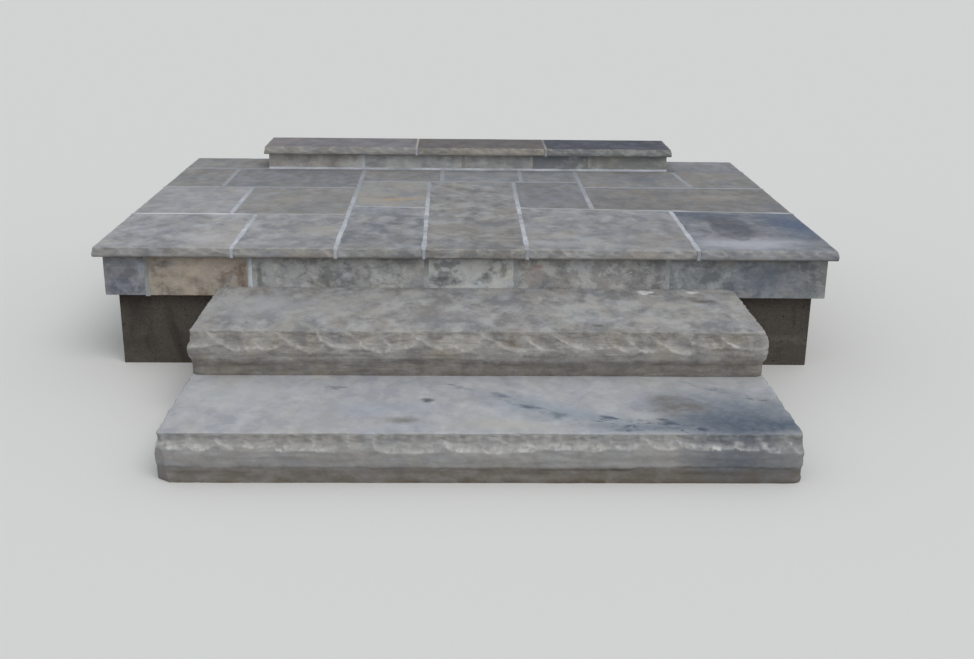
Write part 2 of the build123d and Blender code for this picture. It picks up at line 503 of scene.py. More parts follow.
class Recipe:
    """Adds the nodes of one material and joins them up."""

    def __init__(self, name: str) -> None:
        """Start an empty material with a shader and an output.

        Args:
            name: The material's name.
        """
        self.material = bpy.data.materials.new(name)
        self.material.use_nodes = True
        self.nodes = self.material.node_tree.nodes
        self.links = self.material.node_tree.links
        self.nodes.clear()
        output = self.nodes.new("ShaderNodeOutputMaterial")
        self.shader = self.nodes.new("ShaderNodeBsdfPrincipled")
        self.links.new(self.shader.outputs["BSDF"], output.inputs["Surface"])
        self.place = self.nodes.new("ShaderNodeTexCoord").outputs["Object"]

    def shade(
        self, tint: Socket, rough: Socket | float, gloss: float = 0.5, normal: Socket | None = None,
    ) -> None:
        """Give the shader its colour and surface.

        Args:
            tint: The colour.
            rough: The roughness.
            gloss: The specular level, which is the same all over.
            normal: The normal, where there is relief.
        """
        inputs = self.shader.inputs
        self.feed(inputs["Base Color"], tint)
        self.feed(inputs["Roughness"], rough)
        inputs["Specular IOR Level"].default_value = gloss
        if normal is not None:
            self.feed(inputs["Normal"], normal)

    def feed(self, socket: Socket, value: object) -> None:
        """Join a socket to another one, or give it a plain value."""
        if isinstance(value, Socket):
            self.links.new(value, socket)
        else:
            socket.default_value = value

    def moved(
        self, move: tuple = (0, 0, 0), scale: tuple = (1, 1, 1), turn: tuple = (0, 0, 0), kind: str = "POINT",
        of: Socket | None = None,
    ) -> Socket:
        """The place on the stone, moved, turned and scaled.

        Args:
            move: The shift along each axis.
            scale: The factor along each axis.
            turn: The turn about each axis, in radians.
            kind: POINT applies them as they are, TEXTURE the other way round.
            of: The vector to work on, or the place itself.

        Returns:
            The new vector.
        """
        node = self.nodes.new("ShaderNodeMapping")
        node.vector_type = kind
        self.feed(node.inputs["Vector"], of or self.place)
        node.inputs["Location"].default_value = move
        node.inputs["Rotation"].default_value = turn
        node.inputs["Scale"].default_value = scale
        return node.outputs["Vector"]

    def noise(
        self, vector: Socket, scale: float, detail: float = 4, rough: float = 0.55,
        twist: float = 0,
    ) -> Socket:
        """Fractal noise of 0 to 1 with its mean near a half.

        Args:
            vector: Where it is read.
            scale: Features to the metre.
            detail: How many finer layers.
            rough: How strong the finer layers are.
            twist: How far it is stirred.

        Returns:
            The value.
        """
        node = self.nodes.new("ShaderNodeTexNoise")
        self.feed(node.inputs["Vector"], vector)
        node.inputs["Scale"].default_value = scale
        node.inputs["Detail"].default_value = detail
        node.inputs["Roughness"].default_value = rough
        node.inputs["Distortion"].default_value = twist
        return node.outputs["Fac"]

    def stir(self, vector: Socket, scale: float, amount: float) -> Socket:
        """Push a vector about by coloured noise.

        Args:
            vector: The vector to push.
            scale: Features to the unit.
            amount: How far it is pushed.

        Returns:
            The pushed vector.
        """
        node = self.nodes.new("ShaderNodeTexNoise")
        self.feed(node.inputs["Vector"], vector)
        node.inputs["Scale"].default_value = scale
        node.inputs["Detail"].default_value = 4
        centred = self.vector("SUBTRACT", node.outputs["Color"], (0.5, 0.5, 0.5))
        scaled = self.vector("MULTIPLY", centred, (amount, amount, amount))
        return self.vector("ADD", vector, scaled)

    def cells(self, vector: Socket, scale: float, spread: float = 1.0) -> Socket:
        """The distance to the nearest of many scattered points.

        Args:
            vector: Where it is read.
            scale: Points to the metre.
            spread: How irregular they are.

        Returns:
            The distance, 0 at a point.
        """
        node = self.nodes.new("ShaderNodeTexVoronoi")
        self.feed(node.inputs["Vector"], vector)
        node.inputs["Scale"].default_value = scale
        node.inputs["Randomness"].default_value = spread
        return node.outputs["Distance"]

    def rings(self, vector: Socket, scale: float, twist: float, reach: float) -> Socket:
        """Stirred rings of 0 to 1.

        Args:
            vector: Where it is read.
            scale: How close they lie.
            twist: How far they are stirred.
            reach: How fine the stirring is.

        Returns:
            The value.
        """
        node = self.nodes.new("ShaderNodeTexWave")
        node.wave_type = "RINGS"
        node.rings_direction = "SPHERICAL"
        self.feed(node.inputs["Vector"], vector)
        node.inputs["Scale"].default_value = scale
        node.inputs["Distortion"].default_value = twist
        node.inputs["Detail"].default_value = 3
        node.inputs["Detail Scale"].default_value = reach
        return node.outputs["Fac"]

    def vector(self, way: str, first: object, second: object = (0, 0, 0)) -> Socket:
        """One step of vector arithmetic; LENGTH gives its value."""
        node = self.nodes.new("ShaderNodeVectorMath")
        node.operation = way
        self.feed(node.inputs[0], first)
        self.feed(node.inputs[1], second)
        return node.outputs["Value" if way == "LENGTH" else "Vector"]

    def sum(self, way: str, first: object, second: object = 0.0, third: object = 0.0) -> Socket:
        """One step of arithmetic, such as ADD, or MULTIPLY_ADD, which adds the third."""
        node = self.nodes.new("ShaderNodeMath")
        node.operation = way
        for socket, value in zip(node.inputs, (first, second, third)):
            self.feed(socket, value)
        return node.outputs["Value"]

    def times(self, first: object, second: object) -> Socket:
        """The product of two values."""
        return self.sum("MULTIPLY", first, second)

    def span(self, value: Socket, start: float, end: float, low: float = 0, high: float = 1) -> Socket:
        """Map a value from one span to another without corners.

        Args:
            value: What is mapped.
            start: The value that gives low.
            end: The value that gives high.
            low: The first result.
            high: The last result.

        Returns:
            The mapped value.
        """
        node = self.nodes.new("ShaderNodeMapRange")
        node.interpolation_type = "SMOOTHSTEP"
        self.feed(node.inputs["Value"], value)
        node.inputs["From Min"].default_value = start
        node.inputs["From Max"].default_value = end
        node.inputs["To Min"].default_value = low
        node.inputs["To Max"].default_value = high
        return node.outputs["Result"]

    def blend(self, share: object, first: object, second: object, way: str = "MIX") -> Socket:
        """Mix two colours.

        Args:
            share: How much of the second, 0 to 1.
            first: The first colour.
            second: The second colour.
            way: The mix, such as MIX or MULTIPLY.

        Returns:
            The mixed colour.
        """
        node = self.nodes.new("ShaderNodeMix")
        node.data_type = "RGBA"
        node.blend_type = way
        colours = [socket for socket in node.inputs if socket.type == "RGBA"]
        self.feed(node.inputs["Factor"], share)
        self.feed(colours[0], first)
        self.feed(colours[1], second)
        return next(socket for socket in node.outputs if socket.type == "RGBA")

    def painted(self, name: str) -> Socket:
        """A value that the mesh keeps for each point."""
        node = self.nodes.new("ShaderNodeAttribute")
        node.attribute_name = name
        return node.outputs["Fac"]

    def upward(self) -> Socket:
        """How far a surface faces up, from 0 on an upright side to 1 on a level top."""
        split = self.nodes.new("ShaderNodeSeparateXYZ")
        facing = self.nodes.new("ShaderNodeNewGeometry").outputs["Normal"]
        self.links.new(facing, split.inputs["Vector"])
        return self.span(split.outputs["Z"], 0.35, 0.85)

    def bump(self, height: Socket, depth: float, under: object = None) -> Socket:
        """Tilt the surface by a height.

        Args:
            height: The height, 0 to 1.
            depth: What a height of 1 is in metres.
            under: A bump that lies under this one.

        Returns:
            The tilted normal.
        """
        node = self.nodes.new("ShaderNodeBump")
        node.inputs["Strength"].default_value = 1.0
        node.inputs["Distance"].default_value = depth
        self.feed(node.inputs["Height"], height)
        if under is not None:
            self.feed(node.inputs["Normal"], under)
        return node.outputs["Normal"]

    def mark(self, made: Socket, mark: Mark) -> Socket:
        """Draw one mark over a colour.

        Args:
            made: The colour so far.
            mark: The mark.

        Returns:
            The colour with its mark.
        """
        first, second = mark.face.value
        third = 3 - first - second
        local = self.moved(
            move=triple(0.0, {first: mark.x, second: mark.other}),
            scale=triple(1.0, {first: mark.reach, second: mark.width}),
            turn=triple(0.0, {third: math.radians(mark.turn)}),
            kind="TEXTURE",
        )
        local = self.vector("MULTIPLY", self.stir(local, 1.3, 2 * mark.ragged), triple(1.0, {third: 0.0}))
        if mark.kind is MarkKind.VEIN:
            split = self.nodes.new("ShaderNodeSeparateXYZ")
            self.links.new(local, split.inputs["Vector"])
            along = self.span(self.sum("ABSOLUTE", split.outputs[first]), 1, 0.7)
            across = self.span(self.sum("ABSOLUTE", split.outputs[second]), 1, 1 - mark.soft)
            grown = triple(1.0, {first: 9 * mark.reach, second: 26 * mark.width})
            run = self.noise(self.moved(scale=grown, of=local), 1, 5, 0.62, 0.5)
            thread = self.span(self.sum("ABSOLUTE", self.sum("SUBTRACT", run, 0.5)), 0.03, 0.004)
            broken = self.span(self.noise(self.place, 30, 4, 0.6), 0.44, 0.56)
            lines = self.sum("MULTIPLY_ADD", thread, broken, 0.14)
            mask = self.times(self.times(along, across), lines)
        else:
            away = self.vector("LENGTH", local)
            if mark.kind is MarkKind.RING:
                away = self.times(self.sum("ABSOLUTE", self.sum("SUBTRACT", away, 0.75)), 4)
            torn = self.span(self.noise(self.place, 38, 5, 0.65), 0.36, 0.6, 1 - 0.6 * min(1, mark.ragged), 1)
            mask = self.times(self.span(away, 1, 1 - mark.soft), torn)
        return self.blend(self.times(mask, mark.strength), made, mark.tint)


COOLER = (0.93, 0.985, 1.075, 1.0)
WARMER = (1.065, 1.0, 0.90, 1.0)
TERRACES = 16
TONE_SPREAD = 0.22
ROUGH_SPREAD = 0.09
STONE_GLOSS = 0.35
SWELL_DEPTH = 3.6 * MM
TERRACE_DEPTH = 0.45 * MM
PIT_DEPTH = 0.5 * MM
GRAIN_DEPTH = 0.7 * MM


class StoneMaker:
    """Turns a stone finish into a material."""

    def __init__(self, finish: StoneFinish) -> None:
        """Keep the finish and start its material.

        Args:
            finish: The stone's colours and texture.
        """
        self.finish = finish
        self.recipe = Recipe(finish.name)
        shift = finish.shift
        self.drawn = self.recipe.moved(
            move=(3.7 * shift, 2.9 * shift, 1.3 * shift),
            scale=(1 / finish.stretch, 1 / finish.deep, finish.bedded),
        )
        self.even = self.recipe.moved(move=(5.1 * shift, 1.7 * shift, 2.3 * shift), scale=(1, 0.7, 1))
        self.level = self.levels()

    def levels(self) -> Socket:
        """The level of the split bed: shallow terraces with broken outlines.

        Returns:
            The level, counted up.
        """
        recipe = self.recipe
        height = recipe.times(recipe.noise(self.drawn, 8, 7, 0.62), TERRACES)
        floor = recipe.sum("FLOOR", height)
        return recipe.sum("ADD", floor, recipe.span(recipe.sum("SUBTRACT", height, floor), 0.3, 0.7))

    def clouds(self) -> Socket:
        """The stone's own colour: broad clouds of pale, dark and warm over the body colour.

        Returns:
            The colour.
        """
        recipe = self.recipe
        finish = self.finish
        reach = 1 / finish.mottle
        stirred = recipe.stir(self.drawn, reach * 0.9, 0.2 * finish.mottle)
        layers = (
            (recipe.noise(stirred, 0.6 * reach, 3, 0.5), 0.55),
            (recipe.noise(self.even, 13, 4, 0.55, 0.3), 1.25),
            (recipe.noise(self.drawn, 32, 4, 0.6, 0.2), 0.75),
            (recipe.noise(self.even, 90, 4, 0.7), 0.25),
        )
        wave = recipe.sum("SINE", recipe.times(self.level, 2.4))
        tone = recipe.times(wave, 0.06 * finish.split)
        for layer, weight in layers:
            tone = recipe.sum("MULTIPLY_ADD", layer, weight, tone)
        middle = sum(weight for _, weight in layers) / 2
        lighter = recipe.span(tone, middle, middle + TONE_SPREAD, 0, finish.patchy)
        made = recipe.blend(lighter, finish.body, finish.pale)
        darker = recipe.span(tone, middle, middle - TONE_SPREAD, 0, finish.patchy)
        made = recipe.blend(darker, made, finish.dark)
        rust = recipe.noise(recipe.moved(move=(9, 4, 6), of=stirred), reach * 0.8, 4, 0.55)
        made = recipe.blend(recipe.span(rust, 0.5, 0.68, 0, finish.warmth), made, finish.warm)
        hue = recipe.noise(recipe.moved(move=(2, 7, 5), of=self.even), 10, 5, 0.62, 0.4)
        made = recipe.blend(recipe.span(hue, 0.5, 0.72, 0, finish.tint), made, COOLER, "MULTIPLY")
        made = recipe.blend(recipe.span(hue, 0.5, 0.28, 0, finish.tint), made, WARMER, "MULTIPLY")
        drift = recipe.noise(recipe.moved(move=(6, 1, 8), of=stirred), 5.5, 5, 0.55, 1.2)
        line = recipe.span(recipe.sum("ABSOLUTE", recipe.sum("SUBTRACT", drift, 0.5)), 0.045, 0.0)
        there = recipe.span(recipe.noise(self.even, 14, 4), 0.47, 0.62, 0, finish.wisps)
        made = recipe.blend(recipe.times(line, there), made, finish.pale)
        if not finish.fans:
            return made
        fanned = recipe.noise(recipe.moved(move=(3, 3, 1), of=self.even), 6, 3)
        where = recipe.span(fanned, 0.5, 0.64, 0, finish.fans)
        arcs = recipe.rings(self.drawn, 5, 11, 1.3)
        made = recipe.blend(recipe.times(recipe.span(arcs, 0.62, 0.95), where), made, finish.pale)
        return recipe.blend(recipe.times(recipe.span(arcs, 0.38, 0.05), where), made, finish.dark)

    def grains(self, made: Socket) -> Socket:
        """Sand grains, dark freckles and pale flecks over a colour.

        Args:
            made: The colour so far.

        Returns:
            The colour with its grains.
        """
        recipe = self.recipe
        finish = self.finish
        sand = recipe.noise(self.even, 420, 3, 0.7)
        made = recipe.blend(finish.grain, made, recipe.span(sand, 0.3, 0.7, 0.32, 1.0), "SOFT_LIGHT")
        patches = recipe.span(recipe.noise(self.even, 7, 3), 0.42, 0.62)
        freckle = recipe.span(recipe.cells(self.even, 95), 0.16, 0.05, 0, finish.speck)
        made = recipe.blend(recipe.times(freckle, patches), made, finish.dark)
        other = recipe.moved(move=(4.4, 8.1, 2.2), of=self.even)
        fleck = recipe.span(recipe.cells(other, 60), 0.12, 0.04, 0, finish.speck)
        return recipe.blend(fleck, made, finish.pale)

    def relief(self) -> Socket:
        """Grain, pits and fine cleavage as bump, at their real size.

        Returns:
            The normal.
        """
        recipe = self.recipe
        finish = self.finish
        swell = recipe.noise(self.drawn, 28, 6, 0.62)
        under = recipe.bump(swell, SWELL_DEPTH * finish.bump)
        under = recipe.bump(self.level, TERRACE_DEPTH * finish.split, under)
        pits = recipe.span(recipe.cells(self.even, 130), 0.0, 0.32, 0, 1)
        under = recipe.bump(pits, PIT_DEPTH * finish.bump, under)
        grain = recipe.noise(self.even, 380, 4, 0.75)
        return recipe.bump(grain, GRAIN_DEPTH * finish.bump, under)

    def make(self) -> bpy.types.Material:
        """Put the material together.

        Returns:
            The material.
        """
        recipe = self.recipe
        finish = self.finish
        made = self.grains(self.clouds())
        # Upright faces take the side tint and level tops the top tint, which carry painted light and shade
        # where a finish uses them so.
        upward = recipe.upward()
        beside = recipe.blend(1.0, made, finish.side, "MULTIPLY")
        above = recipe.blend(1.0, made, finish.top, "MULTIPLY")
        made = recipe.blend(upward, beside, above)
        if finish.beds:
            lines = recipe.noise(recipe.moved(scale=(0.9, 0.9, 26), of=self.even), 4, 6, 0.7)
            sides = recipe.times(recipe.span(upward, 0, 1, 1, 0), finish.beds)
            for start, end, tint in ((0.52, 0.66, finish.dark), (0.46, 0.34, finish.warm)):
                bed = recipe.times(recipe.span(lines, start, end), sides)
                made = recipe.blend(bed, made, tint)
        for mark in finish.marks:
            made = recipe.mark(made, mark)
        # The pale paint is partly worn and struck stone, partly painted highlights on lips and ledges.
        worn = recipe.span(recipe.noise(self.even, 55, 4), 0.3, 0.6)
        made = recipe.blend(recipe.times(recipe.painted("chip_and_highlight"), worn), made, finish.chip_and_highlight)
        # The dark paint at the feet and under the nosing is partly dirt, partly painted shade.
        uneven = recipe.span(recipe.noise(self.drawn, 15, 6, 0.62), 0.3, 0.65, 0.5, 1)
        dirt_and_shade = recipe.times(recipe.painted("grime_and_shade"), uneven)
        made = recipe.blend(dirt_and_shade, made, finish.grime_and_shade)
        # The dark crack paint is also painted shade under the arris and the ledges.
        made = recipe.blend(recipe.painted("crack_and_shade"), made, finish.crack_and_shade)
        sheen = recipe.noise(self.even, 45, 4, 0.6)
        rough = recipe.span(sheen, 0.25, 0.75, finish.rough - ROUGH_SPREAD, finish.rough + ROUGH_SPREAD)
        recipe.shade(made, rough, STONE_GLOSS, self.relief())
        return recipe.material


@dataclass(frozen=True)
class MortarFinish:
    """Struck joints of pale cement mortar."""

    name: str = "mortar"
    body: Colour = colour(176, 179, 187)
    dark: Colour = colour(150, 153, 158)
    pale: Colour = colour(194, 198, 206)
    sand_depth: float = 0.8 * MM
    lump_depth: float = 2 * MM
    marks: tuple[Mark, ...] = ()

    def make(self) -> bpy.types.Material:
        """Put the material together.

        Returns:
            The material.
        """
        recipe = Recipe(self.name)
        broad = recipe.noise(recipe.place, 9, 5, 0.6)
        fine = recipe.noise(recipe.place, 160, 4, 0.7)
        made = recipe.blend(recipe.span(broad, 0.5, 0.34), self.body, self.dark)
        made = recipe.blend(recipe.span(broad, 0.5, 0.66), made, self.pale)
        made = recipe.blend(recipe.span(fine, 0.5, 0.36, 0, 0.5), made, self.dark)
        for mark in self.marks:
            made = recipe.mark(made, mark)
        rough = recipe.span(fine, 0.2, 0.8, 0.82, 0.96)
        sand = recipe.bump(recipe.noise(recipe.place, 320, 4, 0.7), self.sand_depth)
        lumps = recipe.bump(recipe.noise(recipe.place, 45, 4), self.lump_depth, sand)
        recipe.shade(made, rough, normal=lumps)
        return recipe.material


@dataclass(frozen=True)
class ConcreteFinish:
    """Dark stained foundation concrete with its air holes and pour lines: its darkness is partly painted
    shade.
    """

    name: str = "foundation_concrete"
    body: Colour = colour(94, 88, 82)
    dark: Colour = colour(66, 61, 57)
    pale: Colour = colour(120, 115, 109)
    gloss: float = 0.25
    hole_depth: float = 4 * MM
    pour_depth: float = 6 * MM
    grit_depth: float = 1.6 * MM

    def make(self) -> bpy.types.Material:
        """Put the material together.

        Returns:
            The material.
        """
        recipe = Recipe(self.name)
        stains = recipe.noise(recipe.moved(scale=(1, 1, 0.35)), 3.2, 7, 0.62, 0.6)
        pours = recipe.noise(recipe.moved(scale=(0.55, 0.55, 1.5)), 4.5, 6, 0.65, 0.5)
        fine = recipe.noise(recipe.place, 140, 5, 0.75)
        made = recipe.blend(recipe.span(stains, 0.52, 0.66), self.body, self.dark)
        made = recipe.blend(recipe.span(pours, 0.52, 0.68, 0, 0.7), made, self.pale)
        made = recipe.blend(recipe.span(fine, 0.42, 0.6, 0, 0.45), made, self.dark)
        holes = recipe.cells(recipe.place, 34)
        made = recipe.blend(recipe.span(holes, 0.13, 0.08, 0, 0.8), made, self.dark)
        rough = recipe.span(fine, 0.2, 0.8, 0.8, 0.98)
        under = recipe.bump(recipe.span(holes, 0.06, 0.14), self.hole_depth)
        under = recipe.bump(pours, self.pour_depth, under)
        recipe.shade(made, rough, self.gloss, recipe.bump(fine, self.grit_depth, under))
        return recipe.material


def seat(stone: Solid, finish: StoneFinish, slot: str, node: str) -> None:
    """Shade a dressed stone, give it its material and seat it in place of its node.

    Args:
        stone: The dressed stone.
        finish: Its colours and texture.
        slot: The material slot, which is passed on and not used.
        node: The node that it stands for.
    """
    smooth(stone, STONE_EDGE)
    stone.data.materials.append(StoneMaker(finish).make())
    hand_in(stone, slot, node)


# Rock faced slab steps

CUT_EDGE = 1.8 * MM
FLAKE_WIDTHS = (0.7, 1.35)
FLAKE_BITES = (0.85, 1.12)
FLAKE_LEANS = (0.5, 1.0)
FLAKE_GAPS = (0.6, 1.4)
FLAKE_RIPPLE = 0.4 * MM
SPALL_LEVELS = (-10 * MM, 60 * MM)
SPALL_WIDTHS = (10 * MM, 34 * MM)
SPALL_HEIGHTS = (7 * MM, 24 * MM)
SPALL_BITES = (0.35, 1)
LEDGE_BAND = 45 * MM
CRACK_DROP = 3 * MM
CRACK_THICKNESS = 3.4 * MM
PROFILE_WANDER = 4 * MM
FACE_WAVER = 1.4 * MM
TEETH_BAND = (46 * MM, 12 * MM)
STRIP_FOOT = (42 * MM, 16 * MM)
STRIP_HEAD = (3 * MM, 12 * MM)
GRIME_AND_SHADE_FOOT = (0.018, -0.004)
GRIME_AND_SHADE_WAVER = 0.013


@dataclass(frozen=True)
class Ledge:
    """A bedding ledge along a pitched face: below its height the face steps in. Its dark line under the step
    is partly a crack, partly painted shade, and lit paints a highlight along the edge above it.
    """

    height: float
    step: float
    wave: float = 0.009
    crack_and_shade: float = 0.8
    rare: float = -0.2
    grows: float = 0.0
    lit: float = 0.0
    over: float = 0.014


@dataclass(frozen=True)
class Flaking:
    """The shallow flakes and small spalls that a pitching chisel strikes off under an arris, in metres."""

    width: float
    height: float
    depth: float
    pitch: float
    skew: float
    hollow: float = 3.2
    middle: float = 0.28
    lip: float = 0.62
    full: float = 0.95
    uneven: float = 0.2
    ridges: float = 0.75
    edges: float = 0.55
    spalls: int = 150
    spall_depth: float = 3.5 * MM

    def strike(
        self, rng: np.random.Generator, along: Array, drop: Array, reach: float,
    ) -> tuple[Array, Array, Array]:
        """Strike a row of flakes off a face.

        Args:
            rng: Sets where they lie.
            along: The way round from the middle of the front.
            drop: How far below the arris.
            reach: How far round the face goes each way.

        Returns:
            The deepest cut at each point, its share of a flake's up-turned lip, and its share of a ridge.
        """
        warp = Noise(int(rng.integers(1000)))
        spots = np.stack([along, np.zeros(len(along)), drop], 1)
        along = along + 0.05 * self.width * warp.fractal(spots, 0.4 * self.width, 3)
        drop = np.maximum(drop + 0.08 * self.height * warp.fractal(spots + 3, 0.8 * self.height, 3), 0)
        deepest = np.full(len(along), -1.0)
        second = deepest.copy()
        lip = np.zeros(len(along))
        place = -reach
        while place < reach + self.pitch:
            width = self.width / 2 * rng.uniform(*FLAKE_WIDTHS)
            height = self.height * rng.uniform(1 - self.uneven, 1 + self.uneven)
            bite = self.depth * rng.uniform(*FLAKE_BITES)
            lean = rng.uniform(*FLAKE_LEANS) * self.skew
            across = (along - place - lean * drop) / width
            across *= np.where(across < 0, 1 + 0.35 * self.skew, 1 - 0.25 * self.skew)
            across *= 0.35 + 0.65 * np.clip(2 * drop / height, 0, 1)
            sunk = self.middle * height
            below = (drop - sunk) / (height - sunk)
            away = np.hypot(across, below)
            cut = bite * (1 - away ** self.hollow) + FLAKE_RIPPLE * np.sin(22 * away + 40 * place)
            # The up-turned lip that faces up is painted pale later: a painted highlight, as if it caught the
            # light.
            facing_up = smooth_step((below - 0.6 * across) / np.maximum(away, TINY), 0.1, 0.8)
            lip = np.where(cut > deepest, facing_up * smooth_step(away, self.lip, self.full), lip)
            second = np.maximum(second, np.minimum(deepest, cut))
            deepest = np.maximum(deepest, cut)
            place += self.pitch * rng.uniform(*FLAKE_GAPS)
        ridge = np.exp(-(deepest - second) / CUT_EDGE) * (deepest > 0)
        return deepest, lip, ridge

    def spall(self, rng: np.random.Generator, along: Array, drop: Array, reach: float) -> Array:
        """Knock small hollows out of the arris and the face under it.

        Args:
            rng: Sets where they lie.
            along: The way round from the middle of the front.
            drop: How far below the arris.
            reach: How far round the face goes each way.

        Returns:
            How deep they are at each point.
        """
        deepest = np.zeros(len(along))
        for _ in range(self.spalls):
            middle = rng.uniform(-reach, reach)
            level = rng.uniform(*SPALL_LEVELS)
            width = rng.uniform(*SPALL_WIDTHS)
            height = rng.uniform(*SPALL_HEIGHTS)
            bite = self.spall_depth * rng.uniform(*SPALL_BITES)
            beside = ((along - middle) / width) ** 2
            below = ((drop - level) / height) ** 2
            deepest = np.maximum(deepest, bite * (1 - beside - below))
        return deepest


@dataclass
class SlabStep:
    """One slab step with a pitched front and ends, a split top and a sawn back.

    The profile goes up from the foot, as pairs of height and set-in from the node's outermost side.
    A broken corner is a plane, as a point on it, counted from the slab's front left foot, and the
    way that it faces.
    """

    node: str
    slot: str
    finish: StoneFinish
    seed: int
    profile: tuple[tuple[float, float], ...]
    ledges: tuple[Ledge, ...]
    flaking: Flaking
    top_relief: float
    top_cleft: float
    face_relief: float
    back_corner: float
    cells: tuple[int, int, int] = (480, 72, 42)
    arris: float = 5 * MM
    corner_arris: float = 12 * MM
    corner_belly: float = 32 * MM
    corner_fade: float = 55 * MM
    teeth: float = 1.3 * MM
    arris_shade: float = 0.12
    nicks: float = 6 * MM
    end_arris: float = 0.4
    end_fade: float = 20 * MM
    rim: float = 8 * MM
    rim_drop: float = 2 * MM
    top_drop: float = 7 * MM
    broken: tuple[tuple[tuple[float, float, float], tuple[float, float, float]], ...] = ()
    foot_grime_and_shade: float = 0.9
    grime_and_shade_top: float = 0.070
    grime_and_shade_full: float = 0.030
    stone: Solid = field(init=False)

    def build(self) -> None:
        """Model the slab, dress it and seat it in place of its node."""
        self.low, self.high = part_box(self.node)
        self.noise = Noise(self.seed)
        self.stone = add_block(f"{self.node}_stone", self.low, self.high, self.cells)
        self.carve()
        join_cells(self.stone, 2, self.low.z)
        join_cells(self.stone, 1, self.high.y)
        seat(self.stone, self.finish, self.slot, self.node)

    def carve(self) -> None:
        """Shape the sides, the arris and the top.

        No operator strikes a shallow flake off a dense face, so the points are set back in code.
        """
        low = np.array(self.low)
        high = np.array(self.high)
        size = high - low
        share = (places(self.stone) - low) / size
        share[:, 2] += 0.5 * share[:, 2] * (1 - share[:, 2])
        nearer = 1 - share[:, 1]
        to_both = 0.3 * nearer * (1 - nearer) * (2 * nearer - 1)
        to_front = 0.25 * nearer * (1 - nearer)
        share[:, 1] = 1 - (nearer + to_both + to_front)
        box = share * size
        half = size[0] / 2
        x = box[:, 0] - half
        y = box[:, 1]
        z = box[:, 2]
        on_front = y < TINY
        on_end = np.abs(x) > half - TINY
        on_side = (on_front | on_end) & (y < size[1] + TINY)
        along = np.where(on_front, x, np.sign(x) * (half + y))
        self.side_points(x, y, z, size, along, on_side)

    def side_points(self, x: Array, y: Array, z: Array, size: Array, along: Array, on_side: Array) -> None:
        """Set every point of the slab to its dressed place.

        Args:
            x: Places across, from the middle.
            y: Places back from the front.
            z: Heights.
            size: The slab's whole size.
            along: The way round from the middle of the front.
            on_side: Which points are on the front or an end.
        """
        half = size[0] / 2
        depth = size[1]
        top = size[2]
        front_in, _, _ = self.set_in_once(x, z, size)
        end_in, _, _ = self.set_in_once(np.sign(x) * (half + y), z, size)
        _, ridge, crack_and_shade = self.set_in_once(np.where(on_side, along, 0), np.where(on_side, z, top), size)
        new_y = front_in + y * (1 - front_in / depth)
        new_x = np.sign(x) * (np.abs(x) * (1 - end_in / half))
        sharper = smooth_step(z, top - self.corner_fade, top)
        corner = self.corner_belly + (self.corner_arris - self.corner_belly) * sharper
        edge_x = half - end_in - corner
        over_x = np.abs(new_x) - edge_x
        over_y = front_in + corner - new_y
        away = np.hypot(over_x, over_y)
        round_it = (over_x > 0) & (over_y > 0) & (away > corner)
        fit = np.where(round_it, corner / np.maximum(away, LEAST), 1)
        new_x = np.where(round_it, np.sign(x) * (edge_x + over_x * fit), new_x)
        new_y = np.where(round_it, front_in + corner - over_y * fit, new_y)
        self.back_corners(x, new_x, new_y, half, end_in, depth)
        from_front = new_y - front_in
        from_end = half - end_in - np.abs(new_x)
        inward = np.minimum(from_front, from_end)
        level = top - z
        points = np.stack([new_x, new_y, z], 1)
        wide = points * (1, 1, 0)
        arris = self.arris * (1 + 0.55 * self.noise.fractal(wide + 7, 0.05, 3, 0.6))
        arris += self.nicks * smooth_step(self.noise.fractal(wide + 19, 0.11, 4, 0.65), 0.1, 0.55)
        arris *= 1 - (1 - self.end_arris) * smooth_step(from_front - from_end, 0, self.end_fade)
        on_top = level < TINY
        fall = arris * np.clip(1 - inward / arris, 0, 1) ** 2 * on_top
        swell = self.noise.fractal(wide * (0.6, 1, 1), 0.32, 3)
        cleft = self.noise.cleft(wide * (0.55, 1, 1) + 3.1, 0.22, 5)
        fine = self.noise.fractal(wide, 0.03, 3, 0.6)
        sunk = self.top_relief * (0.5 - 0.5 * swell) + self.top_cleft * (1 - cleft)
        sunk += 0.35 * self.top_relief * (0.5 - fine / 2)
        sinking = np.exp(-np.maximum(level, 0) / self.top_drop) * (z > 0.5 * top)
        new_z = z - fall * 0.8 - np.clip(sunk, 0, None) * sinking
        over = smooth_step(inward, self.rim, 0)
        # The pale paint here is worn arrises and struck ridges, and also painted highlights on the up-turned
        # lips and ledge edges.
        chip_and_highlight = ridge * (level > self.rim_drop) + over * (level < self.rim_drop) * 0.12
        # Darker towards the foot of the faces: partly dirt, partly painted shade.
        grime_and_shade_line = z + GRIME_AND_SHADE_WAVER * self.noise.fractal(wide, 0.3, 6, 0.65)
        grime_and_shade = 0.75 * smooth_step(grime_and_shade_line, self.grime_and_shade_top, self.grime_and_shade_full)
        grime_and_shade = self.foot_grime_and_shade * (grime_and_shade + 0.25 * smooth_step(grime_and_shade_line, *GRIME_AND_SHADE_FOOT))
        paint(self.stone, "chip_and_highlight", np.where(on_side | on_top, chip_and_highlight, 0))
        paint(self.stone, "grime_and_shade", np.where(on_side, grime_and_shade, 0))
        paint(self.stone, "crack_and_shade", np.where(on_side, crack_and_shade, 0))
        moved = np.stack([new_x + half, new_y, np.clip(new_z, 0, top)], 1)
        for spot, facing in self.broken:
            outward = np.array(facing) / np.linalg.norm(facing)
            past = (moved - spot) @ outward + 1.5 * MM * self.noise.fractal(moved, 0.04, 3)
            moved -= np.outer(np.clip(past, 0, None), outward)
        moved = np.clip(moved, 0, size)
        set_places(self.stone, moved + np.array(self.low))

